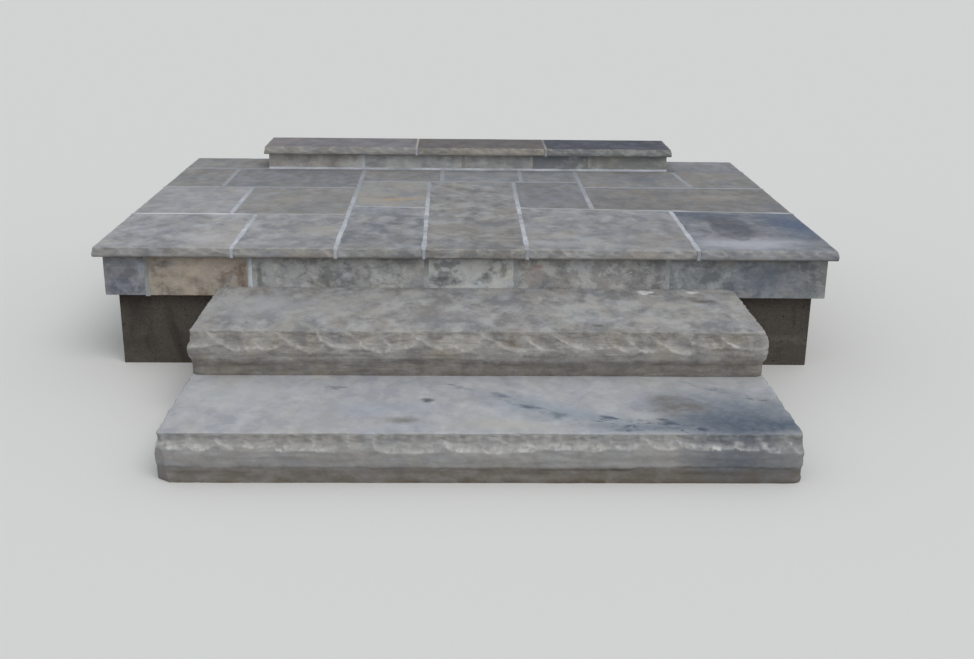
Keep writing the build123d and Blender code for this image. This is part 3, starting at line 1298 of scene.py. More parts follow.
    def back_corners(
        self, x: Array, new_x: Array, new_y: Array, half: float, end_in: Array,
        depth: float,
    ) -> None:
        """Round the two upright corners at the back, in place.

        Args:
            x: Places across before dressing.
            new_x: Places across, changed here.
            new_y: Places back, changed here.
            half: Half the slab's width.
            end_in: How far the ends are set in.
            depth: The slab's depth.
        """
        reach = self.back_corner
        over_x = np.abs(new_x) - (half - end_in - reach)
        over_y = new_y - (depth - reach)
        away = np.hypot(over_x, over_y)
        cut = (over_x > 0) & (over_y > 0) & (away > reach)
        fit = reach / np.maximum(away, LEAST)
        new_x[cut] = (np.sign(x) * (half - end_in - reach + over_x * fit))[cut]
        new_y[cut] = (depth - reach + over_y * fit)[cut]

    def set_in_once(self, along: Array, z: Array, size: Array) -> Array:
        """Work out set_in for each different place only, since whole rows of points share theirs.

        Args:
            along: The way round from the middle of the front.
            z: Heights.
            size: The slab's whole size.

        Returns:
            The three rows that set_in gives.
        """
        spots, back = np.unique(np.round(np.stack([along, z], 1), 6), axis=0, return_inverse=True)
        found = self.set_in(spots[:, 0], spots[:, 1], size[0] / 2, size[1], size[2])
        return np.stack(found)[:, back.ravel()]

    def set_in(
        self, along: Array, z: Array, half: float, depth: float, top: float,
    ) -> tuple[Array, Array, Array]:
        """How far the dressed face lies inside the node's outermost side.

        Args:
            along: The way round from the middle of the front.
            z: Heights.
            half: Half the slab's width.
            depth: Its depth.
            top: Its height.

        Returns:
            The set-in, the share of pale paint (struck ridges, and painted highlights on lips and ledges),
            and the share of dark paint (cracks, and painted shade under the ledges and the arris).
        """
        noise = self.noise
        spot = np.stack([along, np.zeros(len(along)), z], 1)
        heights, ins = zip(*self.profile)
        wander = PROFILE_WANDER * noise.fractal(spot * (1, 0, 0), 0.4, 3)
        inside = np.interp(z + wander, heights, ins)
        inside += FACE_WAVER * (1 + noise.fractal(spot * (1, 0, 0) + 5, 0.5, 2))
        crack_and_shade = np.zeros(len(along))
        ledge_highlight = crack_and_shade.copy()
        for number, ledge in enumerate(self.ledges):
            run = spot * (1, 0, 0) + 11 * number + self.seed
            stepped = noise.cleft(run, 0.5, 6, 2.5) * 2 - 1
            line = ledge.height + ledge.wave * (stepped + 0.4 * noise.fractal(run, 0.06, 4, 0.6))
            broken = smooth_step(noise.fractal(run + 23, 0.5, 3), ledge.rare, ledge.rare + 0.3)
            below = 1 - smooth_step(z, line - 5 * MM, line)
            above = smooth_step(z, line - LEDGE_BAND, line - 4 * MM)
            inside += ledge.step * (0.15 + 0.85 * broken) * below * above
            gappy = smooth_step(noise.fractal(run + 41, 0.06, 3), -0.4, 0.3)
            dark = ledge.crack_and_shade * broken * (0.45 + 0.55 * gappy)
            thick = CRACK_THICKNESS * (1 + 0.55 * noise.fractal(run + 53, 0.09, 3))
            dark *= smooth_step(noise.fractal(run + 61, 0.18, 3), -0.45, 0.05)
            dark *= 1 + ledge.grows * np.clip(along / half, -1, 1)
            crack_and_shade = np.maximum(crack_and_shade, dark * np.exp(-((z - line + CRACK_DROP) / thick) ** 2))
            # lit paints a pale band along the edge above the ledge: a painted highlight.
            lit = ledge.lit * smooth_step(noise.fractal(run + 71, 0.12, 4, 0.6), -0.5, 0.3)
            over = (z - line - ledge.over) / (0.6 * ledge.over)
            ledge_highlight = np.maximum(ledge_highlight, lit * np.exp(-over ** 2))
        rough = noise.fractal(spot * (0.7, 1, 1.4) + 2, 0.06, 4, 0.65)
        beds = noise.fractal(spot * (0.22, 1, 2.4) + 9, 0.05, 4, 0.6)
        raw = inside + self.face_relief * (0.7 * rough + 0.7 * beds)
        rng = np.random.default_rng(self.seed)
        drop = np.maximum(top - z, 0)
        teeth = noise.fractal(spot * (1, 0, 0.22) + 17, 0.026, 2) * smooth_step(drop, *TEETH_BAND)
        # A band under the arris is darkened and streaked by the tooth marks: painted shade.
        shade = self.arris_shade * smooth_step(drop, *STRIP_FOOT) * smooth_step(drop, *STRIP_HEAD)
        shade *= np.clip(0.45 + 1.4 * teeth, 0, 1) * (np.abs(along) < half)
        crack_and_shade = np.maximum(crack_and_shade, shade)
        cut, lip, ridge = self.flaking.strike(rng, along, drop, half + depth)
        cut += 0.5 * self.face_relief * rough
        spall = self.flaking.spall(rng, along, drop, half + depth)
        inset = np.maximum(np.maximum(raw, cut) + self.teeth * teeth, 0) + spall
        bruised = smooth_step(noise.fractal(spot + 31, 0.05, 3, 0.6), -0.2, 0.4)
        # Ridges are painted pale as bruised stone, and up-turned lips as a painted highlight.
        struck_and_lit = (self.flaking.ridges * ridge + 0.8 * lip) * (cut > raw)
        edge = self.flaking.edges * np.exp(-np.abs(cut - raw) / CUT_EDGE)
        pale = (0.4 + 0.6 * bruised) * (struck_and_lit + edge + 0.3 * np.clip(-teeth, 0, 1)) + ledge_highlight
        return inset, np.clip(pale, 0, 1), crack_and_shade * (1 - 0.7 * np.clip(pale, 0, 1))


# Stones dressed from a plain block


class Side(Enum):
    """A side of a block, as the axis that it is square to and whether it is the far end of it."""

    LEFT = (0, 0)
    RIGHT = (0, 1)
    FRONT = (1, 0)
    BACK = (1, 1)
    TOP = (2, 1)


@dataclass(frozen=True)
class Relief:
    """How deep a side's surface is worked, and how far the edge round it follows."""

    swell: float = 1.2 * MM
    cleft: float = 0.8 * MM
    fine: float = 0.3 * MM
    pitched: float = 0.0
    teeth: float = 0.0
    wave: float = 0.2
    reach: float = 8 * MM
    flaking: Flaking | None = None


CROWDING = (0.55, 0.55, 0.35)
SPLIT_TOP = Relief()
PITCHED_EDGE = Relief(
    swell=2.4 * MM, cleft=3 * MM, fine=1.2 * MM, pitched=3 * MM, teeth=1.2 * MM, wave=0.07, reach=12 * MM,
    flaking=Flaking(width=0.08, height=0.032, depth=0.0085, pitch=0.062, skew=0.7, hollow=2.2, middle=0.04),
)
FACING = {"arris": 2 * MM, "chips": 2 * MM}
SPLIT_PANEL = Relief(swell=2.2 * MM, cleft=2.4 * MM, fine=0.7 * MM, wave=0.16, reach=6 * MM)


@dataclass
class Stone:
    """One flag, panel or coping stone: a block with rounded, chipped arrises and worked sides."""

    node: str
    slot: str
    finish: StoneFinish
    seed: int
    sides: dict[Side, Relief]
    pitch: float = 8 * MM
    rows: int = 10
    arris: float = 3.2 * MM
    chips: float = 5 * MM
    chip_share: float = 0.5
    joint_arris: float = 0.4
    foot_grime_and_shade: float = 0.6
    head_shade_and_grime: float = 0.0
    flat: int | None = None
    flat_cells: int = 5
    stone: Solid = field(init=False)

    def corners(self) -> Array:
        """The four corners of the node's plan: front left, front right, back left, back right.

        Returns:
            Two rows of two places each.
        """
        points = places(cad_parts[self.node])
        foot = points[points[:, 2] < points[:, 2].min() + 1 * MM][:, :2]
        middle = foot.mean(0)
        found = np.zeros((2, 2, 2))
        for back, right in product((0, 1), repeat=2):
            lean = np.array([2 * right - 1, 2 * back - 1])
            found[back, right] = foot[np.argmax((foot - middle) @ lean)]
        return found

    def build(self) -> None:
        """Model the stone, dress it and seat it in place of its node."""
        low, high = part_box(self.node)
        self.shape(low, high, self.corners())
        seat(self.stone, self.finish, self.slot, self.node)

    def shape(self, low: Vector, high: Vector, corners: Array) -> None:
        """Model one stone between two corners.

        Args:
            low: The lowest corner.
            high: The highest corner.
            corners: The four corners of its plan.
        """
        size = high - low
        pitches = (self.pitch, self.pitch, size.z / self.rows)
        cells = tuple(cells_for(length, pitch) for length, pitch in zip(size, pitches))
        if self.flat is not None:
            cells = tuple(self.flat_cells if axis == self.flat else count for axis, count in enumerate(cells))
        self.stone = add_block(f"{self.node}_stone", low, high, cells)
        self.carve(np.array(low), np.array(high), corners)
        join_cells(self.stone, 2, low.z)
        if Side.BACK not in self.sides:
            join_cells(self.stone, 1, high.y)

    def carve(self, low: Array, high: Array, corners: Array) -> None:
        """Round the arrises, chip them and work the sides.

        Args:
            low: The lowest corner.
            high: The highest corner.
            corners: The four corners of the plan.
        """
        noise = Noise(self.seed)
        size = high - low
        share = (places(self.stone) - low) / size
        for axis, crowding in enumerate(CROWDING):
            share[:, axis] -= crowding * np.sin(2 * math.pi * share[:, axis]) / (2 * math.pi)
        box = share * size
        spot = box + low
        chipped = smooth_step(noise.fractal(spot, 0.06, 3, 0.6), 1 - self.chip_share, 1.15 - self.chip_share)
        radius = self.arris * (1 + 0.3 * noise.fractal(spot + 4, 0.1, 2)) + self.chips * chipped
        radius = np.minimum(radius, 0.3 * size.min())[:, None]
        shown = {side.value for side, relief in self.sides.items() if relief.pitched}
        share_low = np.array([1.0 if (axis, 0) in shown else self.joint_arris for axis in (0, 1)] + [1e-3])
        share_high = np.array([1.0 if (axis, 1) in shown else self.joint_arris for axis in (0, 1)] + [1.0])
        inner = np.clip(box, radius * share_low, size - radius * share_high)
        away = box - inner
        reach = radius * np.where(away < 0, share_low, share_high)
        length = np.linalg.norm(away / reach, axis=1, keepdims=True)
        rounded = np.where(length > TINY, inner + away / np.maximum(length, LEAST), box)
        turned = smooth_step(np.linalg.norm(rounded - box, axis=1), 0.1 * MM, 1.2 * MM)
        worked = rounded.copy()
        struck_and_lit = np.zeros(len(worked))
        for side, relief in self.sides.items():
            move, ridge = self.pull(noise, side, relief, rounded, size, spot)
            worked += move
            struck_and_lit = np.maximum(struck_and_lit, ridge)
        plan = np.clip(worked[:, :2] / size[:2], 0, 1)
        across = plan[:, :1]
        back = plan[:, 1:]
        front_line = corners[0, 0] * (1 - across) + corners[0, 1] * across
        back_line = corners[1, 0] * (1 - across) + corners[1, 1] * across
        moved = np.column_stack([front_line * (1 - back) + back_line * back, worked[:, 2] + low[2]])
        set_places(self.stone, np.clip(moved, low, high))
        # The pale paint is worn arrises and struck ridges, and a painted highlight on up-turned lips.
        paint(self.stone, "chip_and_highlight", np.maximum(turned * (0.25 + 0.6 * chipped), struck_and_lit))
        pitched = any(relief.pitched for relief in self.sides.values())
        # Darker at the foot of a pitched side (dirt and painted shade), and at the head of a panel under the
        # nosing (painted shadow with some dirt).
        grime_and_shade = self.foot_grime_and_shade * pitched * smooth_step(share[:, 2], 0.3, 0.0)
        paint(self.stone, "grime_and_shade", grime_and_shade + self.head_shade_and_grime * smooth_step(share[:, 2], 0.86, 1))

    def pull(
        self, noise: Noise, side: Side, relief: Relief, box: Array, size: Array, spot: Array,
    ) -> tuple[Array, Array]:
        """How a worked side draws the points near it inward.

        Args:
            noise: The stone's noise.
            side: The side.
            relief: How it is worked.
            box: Places from the block's lowest corner.
            size: The block's size.
            spot: Places in the frame.

        Returns:
            The move of each point, and its share of a struck ridge and lip: ridges pale as bruised stone, and
            up-turned lips painted pale as a highlight.
        """
        axis, far = side.value
        whole = np.zeros_like(box)
        struck_and_lit = np.zeros(len(box))
        distance = size[axis] - box[:, axis] if far else box[:, axis]
        near = distance < 3 * relief.reach
        box = box[near]
        away = distance[near]
        flat = spot[near]
        flat[:, axis] = 0
        flat = flat * (0.6, 1, 1.6 if axis != 2 else 1)
        deep = relief.swell * (0.5 - 0.5 * noise.fractal(flat + axis, relief.wave * 1.4, 3))
        deep += relief.cleft * (1 - noise.cleft(flat + 2 * axis, relief.wave, 4))
        deep += relief.fine * (0.5 - 0.5 * noise.fractal(flat + 3, 0.02, 3, 0.6))
        if relief.pitched:
            height = box[:, 2] / size[2]
            belly = np.interp(height, (0, 0.12, 0.5, 1), (0.5, 0.05, 0.0, 0.6))
            deep += relief.pitched * belly * (1 + 0.7 * noise.fractal(flat + 6, 0.09, 3))
            deep += relief.teeth * noise.fractal(flat * (1, 1, 0.3) + 9, 0.03, 3, 0.6)
        deep = np.maximum(deep, 0)
        fade = np.exp(-(np.maximum(away, 0) / relief.reach) ** 1.5)
        if relief.flaking is not None:
            rng = np.random.default_rng(self.seed + 7 * axis + far)
            cut, lip, ridge = relief.flaking.strike(rng, spot[near][:, 1 - axis], size[2] - box[:, 2], 1.5)
            struck_and_lit[near] = np.clip(0.5 * lip + 0.5 * ridge, 0, 1) * (cut > deep) * fade
            deep = np.maximum(deep, cut)
        whole[near, axis] = -deep * fade if far else deep * fade
        return whole, struck_and_lit


@dataclass
class StoneRow(Stone):
    """Several stones that are the solids of one node, modelled one by one and joined."""

    def build(self) -> None:
        """Model the stones, join them, dress them and seat them in place of their node."""
        made = []
        for number, (low, high) in enumerate(self.solids()):
            plan = np.array([[(x, y) for x in (low.x, high.x)] for y in (low.y, high.y)])
            self.seed += number
            self.shape(low, high, plan)
            made.append(self.stone)
        start_fresh()
        for stone in made:
            stone.select_set(True)
        bpy.context.view_layer.objects.active = made[0]
        bpy.ops.object.join()
        self.stone = made[0]
        seat(self.stone, self.finish, self.slot, self.node)

    def solids(self) -> list[tuple[Vector, Vector]]:
        """Find the box of each of the node's solids.

        Returns:
            The lowest and highest corner of each, from the left front.
        """
        copy_node(self.node, "loose")
        with editing():
            bpy.ops.mesh.select_all(action="SELECT")
            bpy.ops.mesh.separate(type="LOOSE")
        boxes = []
        for part in list(bpy.context.selected_objects):
            points = places(part)
            boxes.append((Vector(points.min(0)), Vector(points.max(0))))
            bpy.data.objects.remove(part)
        return sorted(boxes, key=lambda box: tuple(round(value, 4) for value in box[0]))


# Joints


@dataclass
class JointFill:
    """The mortar that shows in a row or net of joints, struck a little below the stones' faces."""

    name: str
    node: str
    axis: int
    facing: int
    plane: float
    material: bpy.types.Material
    depth: float = 0.014
    spread: float = 4 * MM
    rise: float = -1.4 * MM
    pitch: float = 9 * MM
    wander: float = 1.0 * MM
    rolls: tuple[tuple[int, bool], ...] = ()
    roll: float = 8 * MM
    short: float = 6 * MM
    seed: int = 5

    def build(self) -> None:
        """Lift the joints' faces off the node's copy, thicken them and roughen them."""
        fill = copy_node(self.node, self.name)
        self.keep_faces(fill)
        self.cut_cells(fill)
        self.thicken()
        self.roughen(fill)
        smooth(fill, JOINT_EDGE)
        fill.data.materials.append(self.material)
        hand_in(fill, JOINT_SLOT)

    def keep_faces(self, fill: Solid) -> None:
        """Delete all but the faces that lie in the joints' plane and face out of it."""
        mesh = fill.data
        points = places(fill)
        unwanted = []
        for face in mesh.polygons:
            level = abs(points[list(face.vertices), self.axis] - self.plane).max() < 0.1 * MM
            unwanted.append(not (level and face.normal[self.axis] * self.facing > 0.9))
        bpy.context.tool_settings.mesh_select_mode = (False, False, True)
        select_only(mesh, "polygons", np.array(unwanted))
        with editing():
            bpy.ops.mesh.delete(type="FACE")
            bpy.ops.mesh.select_all(action="SELECT")
            bpy.ops.mesh.tris_convert_to_quads()

    def cut_cells(self, fill: Solid) -> None:
        """Cut the joints across at an even pitch, along each axis that they run in."""
        points = places(fill)
        with editing():
            for axis in {0, 1, 2} - {self.axis}:
                start = points[:, axis].min()
                span = points[:, axis].max() - start
                count = max(2, round(span / self.pitch))
                normal = triple(0.0, {axis: 1.0})
                for number in range(1, count):
                    middle = triple(0.0, {axis: start + span * number / count})
                    bpy.ops.mesh.select_all(action="SELECT")
                    bpy.ops.mesh.bisect(plane_co=middle, plane_no=normal)

    def thicken(self) -> None:
        """Give the picked net of faces its depth, and spread it under the stones' arrises."""
        inward = triple(0.0, {self.axis: -self.facing * self.depth})
        with editing():
            bpy.ops.mesh.select_all(action="SELECT")
            bpy.ops.mesh.extrude_region_move(TRANSFORM_OT_translate={"value": inward})
            bpy.ops.mesh.select_all(action="SELECT")
            bpy.ops.mesh.normals_make_consistent(inside=False)
            bpy.ops.transform.shrink_fatten(value=self.spread, use_even_offset=True)

    def roughen(self, fill: Solid) -> None:
        """Strike the joint back to its level, unevenly."""
        noise = Noise(self.seed)
        points = places(fill)
        shown = np.abs(points[:, self.axis] - self.plane) < self.depth / 2
        level = self.plane + self.facing * self.rise
        uneven = 0.6 * MM * noise.fractal(points, 0.08, 2)
        points[:, self.axis] = np.where(shown, level + uneven, points[:, self.axis])
        low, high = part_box(self.node)
        for axis, far in self.rolls:
            end = high[axis] - self.short if far else low[axis] + self.short
            share = np.clip(1 - np.abs(points[:, axis] - end) / self.roll, 0, 1)
            fall = self.facing * self.roll * (1 - np.sqrt(1 - share ** 2))
            points[:, self.axis] -= np.where(shown, fall, 0)
            points[:, axis] = np.minimum(points[:, axis], end) if far else np.maximum(points[:, axis], end)
        for axis in {0, 1, 2} - {self.axis}:
            points[:, axis] += self.wander * noise.fractal(points + 5 * axis, 0.045, 2)
        set_places(fill, np.clip(points, np.array(CAD_BOX[0]), np.array(CAD_BOX[1])))


# Finishes

MORTAR = MortarFinish()
GREY_FLAG = StoneFinish(
    name="flag_grey",
    body=colour(143, 144, 148),
    pale=colour(164, 164, 167),
    dark=colour(118, 120, 125),
    warm=colour(150, 143, 134),
    chip_and_highlight=colour(192, 190, 176),
    grime_and_shade=colour(92, 88, 79),
    stretch=1.5, patchy=0.85, wisps=0.15, grain=0.15, split=0.6, bump=0.75,
)
PANEL = StoneFinish(
    name="riser_grey",
    body=colour(160, 160, 159),
    pale=colour(186, 187, 184),
    dark=colour(124, 125, 126),
    warm=colour(162, 154, 142),
    side=(1.0, 1.0, 1.0, 1.0), fans=0.3, mottle=0.1, bedded=1.1, patchy=0.95, wisps=0.5,
)
SILL_STONE = replace(
    PANEL, name="sill_stone", body=colour(156, 153, 151), stretch=1.8, fans=0.0, patchy=0.6, wisps=0.2,
)
# The coping's top is darkened against its front: painted shade.
COPING = replace(
    GREY_FLAG, name="sill_coping", body=colour(148, 147, 144), warm=colour(160, 152, 136), warmth=0.35,
    top=(0.41, 0.41, 0.48, 1.0), beds=0.4, patchy=0.55,
)

LOWER_FINISH = StoneFinish(
    name="lower_slab",
    body=colour(163, 164, 168),
    pale=colour(178, 180, 183),
    dark=colour(144, 147, 153),
    warm=colour(166, 163, 157),
    chip_and_highlight=colour(203, 203, 200),
    grime_and_shade=colour(98, 88, 74),
    # The upright faces are darker and warmer than the top: partly the stone's own colour, partly painted
    # shade.
    side=(0.88, 0.86, 0.825, 1.0), mottle=0.3, deep=1.2, patchy=0.65, tint=0.5,
    grain=0.25, wisps=0.2, beds=0.45, split=0.12, speck=0.15, bump=0.5, rough=0.8,
    marks=(
        blot(0.28, -1.28, 0.46, 0.11, (134, 144, 157), 0.65, turn=-26),
        # The next two dark blue blots at the right end are partly the stone's bluer veining, partly painted
        # shadow.
        blot(0.84, -1.28, 0.42, 0.26, (102, 112, 124), 0.9),
        blot(0.90, -1.40, 0.40, 0.15, (82, 93, 107), 1.0, soft=0.8),
        blot(0.54, -1.42, 0.30, 0.055, (118, 127, 138), 0.9, soft=0.95),
        blot(-0.75, -1.15, 0.45, 0.14, (178, 180, 182), 0.6, turn=12, soft=0.95),
        blot(-0.30, -1.27, 0.30, 0.10, (152, 158, 170), 0.6, turn=5, soft=0.95),
        blot(0.10, -1.40, 0.30, 0.08, (176, 173, 166), 0.7, turn=-8, soft=0.95),
        blot(0.690, -1.240, 0.150, 0.110, (112, 110, 108), 0.95, turn=-20, ragged=0.7, soft=0.7),
        vein(0.17, -1.22, 0.21, 0.034, (82, 91, 104), 0.35, turn=-43, ragged=0.3, soft=0.6),
        vein(0.55, -1.395, 0.27, 0.055, (78, 87, 101), 0.9, turn=-10, ragged=0.35, soft=0.6),
        vein(0.87, -1.105, 0.20, 0.024, (84, 93, 106), 0.95, turn=-35, ragged=0.25, soft=0.6),
        blot(0.105, -1.150, 0.055, 0.032, (90, 100, 114), 0.9, turn=-30, ragged=0.8, soft=0.9),
        blot(0.200, -1.250, 0.062, 0.020, (80, 91, 104), 0.95, turn=-20, ragged=0.7, soft=0.8),
        blot(0.290, -1.320, 0.042, 0.046, (98, 111, 117), 0.9, ragged=0.6, soft=0.8),
        blot(0.450, -1.340, 0.048, 0.020, (84, 94, 108), 0.95, turn=-20, ragged=0.7, soft=0.7),
        blot(0.500, -1.442, 0.070, 0.012, (82, 91, 104), 0.85, ragged=1.6, soft=0.7),
        blot(0.635, -1.378, 0.060, 0.028, (76, 85, 100), 0.95, turn=-35, ragged=1.3, soft=0.7),
        blot(0.735, -1.430, 0.030, 0.017, (62, 73, 92), 0.95, ragged=0.8, soft=0.6),
        blot(-0.212, -1.364, 0.095, 0.048, (120, 120, 118), 0.95, ragged=0.2, soft=0.95),
        blot(-0.445, -1.080, 0.060, 0.022, (112, 115, 117), 0.9, ragged=1.5, soft=0.8),
        blot(-0.134, -1.192, 0.036, 0.028, (86, 92, 96), 1.0, ragged=0.5, soft=0.8),
        blot(-0.030, -1.075, 0.080, 0.020, (108, 116, 128), 0.8, turn=-30, ragged=1.5, soft=0.8),
    ),
)
UPPER_FINISH = StoneFinish(
    name="upper_slab",
    body=colour(144, 143, 143),
    pale=colour(165, 164, 163),
    dark=colour(117, 116, 117),
    warm=colour(146, 139, 128),
    chip_and_highlight=colour(192, 190, 184),
    grime_and_shade=colour(98, 91, 82),
    # The upright faces are lighter and warmer than the top: partly the stone's own colour, partly painted
    # light.
    side=(1.1, 1.07, 1.02, 1.0), mottle=0.1, deep=1.8, patchy=0.8, tint=0.75,
    grain=0.25, wisps=0.35, beds=0.45, speck=0.4, bump=0.85,
    marks=(
        blot(-0.72, -0.68, 0.42, 0.24, (156, 157, 161), 0.6, soft=0.95),
        blot(0.685, -0.475, 0.046, 0.034, (222, 222, 224), 1.0, ragged=0.8, soft=0.5),
        blot(0.868, -0.470, 0.038, 0.024, (220, 220, 222), 1.0, ragged=0.8, soft=0.5),
        blot(0.887, -0.588, 0.066, 0.028, (104, 97, 90), 0.95, ragged=0.4, soft=0.7),
        blot(0.453, -0.887, 0.034, 0.026, (90, 88, 86), 0.9, ragged=0.5, soft=0.7),
        blot(0.41, -0.68, 0.14, 0.060, (170, 170, 170), 0.55, ragged=0.7),
        blot(0.66, -0.64, 0.12, 0.050, (168, 168, 168), 0.5, ragged=0.7),
        blot(-0.45, -0.62, 0.30, 0.20, (150, 146, 140), 0.5, ragged=0.7),
        blot(-0.10, -0.80, 0.26, 0.16, (130, 130, 134), 0.5, ragged=0.7),
        blot(0.145, 0.285, 0.050, 0.024, (122, 106, 92), 0.75, ragged=0.8, face=Face.FRONT, soft=0.8),
    ),
)


class Tone(Enum):
    """The tones that the landing's flags come in, as body, pale, dark and warm colours."""

    BLUE = (colour(133, 135, 139), colour(154, 156, 160), colour(108, 111, 116), colour(142, 139, 132))
    MAUVE = (colour(149, 149, 152), colour(168, 168, 170), colour(126, 127, 132), colour(156, 150, 141))
    GREY = (colour(136, 135, 135), colour(157, 156, 156), colour(112, 112, 114), colour(144, 138, 128))
    SHADED = (colour(136, 139, 147), colour(158, 160, 166), colour(112, 115, 123), colour(140, 139, 138))
    TAN = (colour(141, 140, 139), colour(159, 156, 151), colour(118, 118, 120), colour(150, 144, 134))


@dataclass(frozen=True)
class FlagPlan:
    """Which sides of a flag are pitched, its tone, how far its top is darkened beside the others as painted
    shade, and its marks.
    """

    name: str
    tone: Tone
    sides: tuple[Side, ...] = ()
    light: float = 1.0
    marks: tuple[Mark, ...] = ()
    edge: float = 1.0


# Most flags, above all those at the back and at the right, have their tops darkened by painted shade through
# their light.
FLAGS = (
    FlagPlan("front_left_outer", Tone.MAUVE, (Side.FRONT, Side.LEFT), 0.97, (
        blot(-1.03, -0.29, 0.15, 0.13, (174, 173, 175), 0.85, turn=30, ragged=0.5, soft=0.8),
        blot(-1.22, 0.00, 0.13, 0.09, (134, 133, 139), 0.7, ragged=0.8),
        blot(-1.27, -0.26, 0.10, 0.05, (138, 137, 142), 0.7, turn=20, ragged=1.0),
    )),
    FlagPlan("front_left_inner", Tone.MAUVE, (Side.FRONT,), 0.93, (
        blot(-0.62, -0.14, 0.13, 0.13, (158, 157, 149), 0.75, turn=20, ragged=0.7, soft=0.8),
        blot(-0.80, 0.02, 0.12, 0.06, (134, 134, 138), 0.6, ragged=0.9),
        blot(-0.74, -0.33, 0.14, 0.05, (140, 139, 141), 0.6, ragged=0.9),
    )),
    FlagPlan("front_tan_side", Tone.BLUE, (Side.FRONT,), 0.96, (
        blot(-0.27, 0.12, 0.11, 0.040, (110, 112, 118), 0.75, turn=-12, soft=0.8),
        blot(-0.31, -0.02, 0.06, 0.035, (100, 103, 110), 0.85, turn=-12, soft=0.7),
    ), 1.16),
    FlagPlan("centre_large", Tone.GREY, (Side.FRONT,), 0.95, (
        blot(0.05, -0.04, 0.16, 0.10, (124, 124, 128), 0.5),
        blot(0.13, -0.30, 0.13, 0.035, (160, 157, 150), 0.5, soft=0.8),
    ), 1.22),
    FlagPlan("front_right_inner", Tone.MAUVE, (Side.FRONT,), 0.86, (
        blot(0.54, -0.19, 0.14, 0.08, (118, 120, 125), 0.8, turn=15, ragged=0.6),
        blot(0.31, -0.34, 0.14, 0.06, (166, 167, 174), 0.75, ragged=0.6),
        blot(0.45, 0.02, 0.12, 0.07, (132, 132, 130), 0.6, ragged=0.8),
    )),
    FlagPlan("front_right_outer", Tone.SHADED, (Side.FRONT, Side.RIGHT), 0.76, (
        blot(1.10, -0.33, 0.36, 0.14, (172, 174, 182), 0.85, turn=4, ragged=0.4, soft=0.8),
        # This big dark blue blot at the right end is painted shadow.
        blot(1.40, 0.02, 0.25, 0.38, (80, 94, 116), 1.0, ragged=0.4, soft=0.85),
        blot(1.02, 0.17, 0.27, 0.14, (88, 96, 109), 1.0, turn=-8, ragged=0.5, soft=0.7),
        blot(1.10, -0.02, 0.11, 0.21, (88, 90, 99), 1.0, turn=8, ragged=0.5, soft=0.4),
        ring(1.09, -0.12, 0.10, 0.16, (82, 82, 92), 0.5, turn=10, ragged=0.6),
    )),
    FlagPlan("middle_left_outer", Tone.MAUVE, (Side.LEFT,), 0.97),
    FlagPlan("middle_left_inner", Tone.GREY, light=0.92, marks=(
        blot(-0.80, 0.44, 0.14, 0.14, (146, 140, 130), 0.6, ragged=0.8),
        blot(-0.62, 0.30, 0.14, 0.08, (120, 121, 124), 0.6, ragged=0.9),
    )),
    FlagPlan("middle_tan", Tone.TAN, marks=(
        blot(-0.31, 0.46, 0.19, 0.050, (166, 146, 124), 0.75, turn=16, soft=0.8),
    )),
    FlagPlan("middle_narrow", Tone.BLUE, light=0.78),
    FlagPlan("middle_right", Tone.GREY, (Side.RIGHT,), 0.74, (
        blot(1.18, 0.56, 0.26, 0.10, (154, 148, 142), 0.7, ragged=0.7),
        blot(1.37, 0.36, 0.12, 0.09, (112, 117, 128), 0.8, ragged=0.7),
    )),
    FlagPlan("back_left_outer", Tone.GREY, (Side.LEFT,), 0.86),
    FlagPlan("back_left_inner", Tone.BLUE, light=0.8),
    FlagPlan("back_tan_side", Tone.GREY, light=0.9),
    FlagPlan("back_centre", Tone.BLUE, light=0.9),
    FlagPlan("back_narrow", Tone.BLUE, light=0.86),
    FlagPlan("back_right_inner", Tone.GREY, light=0.84, marks=(
        blot(0.88, 0.98, 0.20, 0.16, (104, 111, 122), 0.85, ragged=0.7),
    )),
    FlagPlan("back_right_outer", Tone.GREY, (Side.RIGHT,), 0.86),
    FlagPlan("beside_sill_left", Tone.GREY, (Side.LEFT, Side.BACK), 0.86),
    FlagPlan("beside_sill_right", Tone.BLUE, (Side.RIGHT, Side.BACK), 0.86),
)


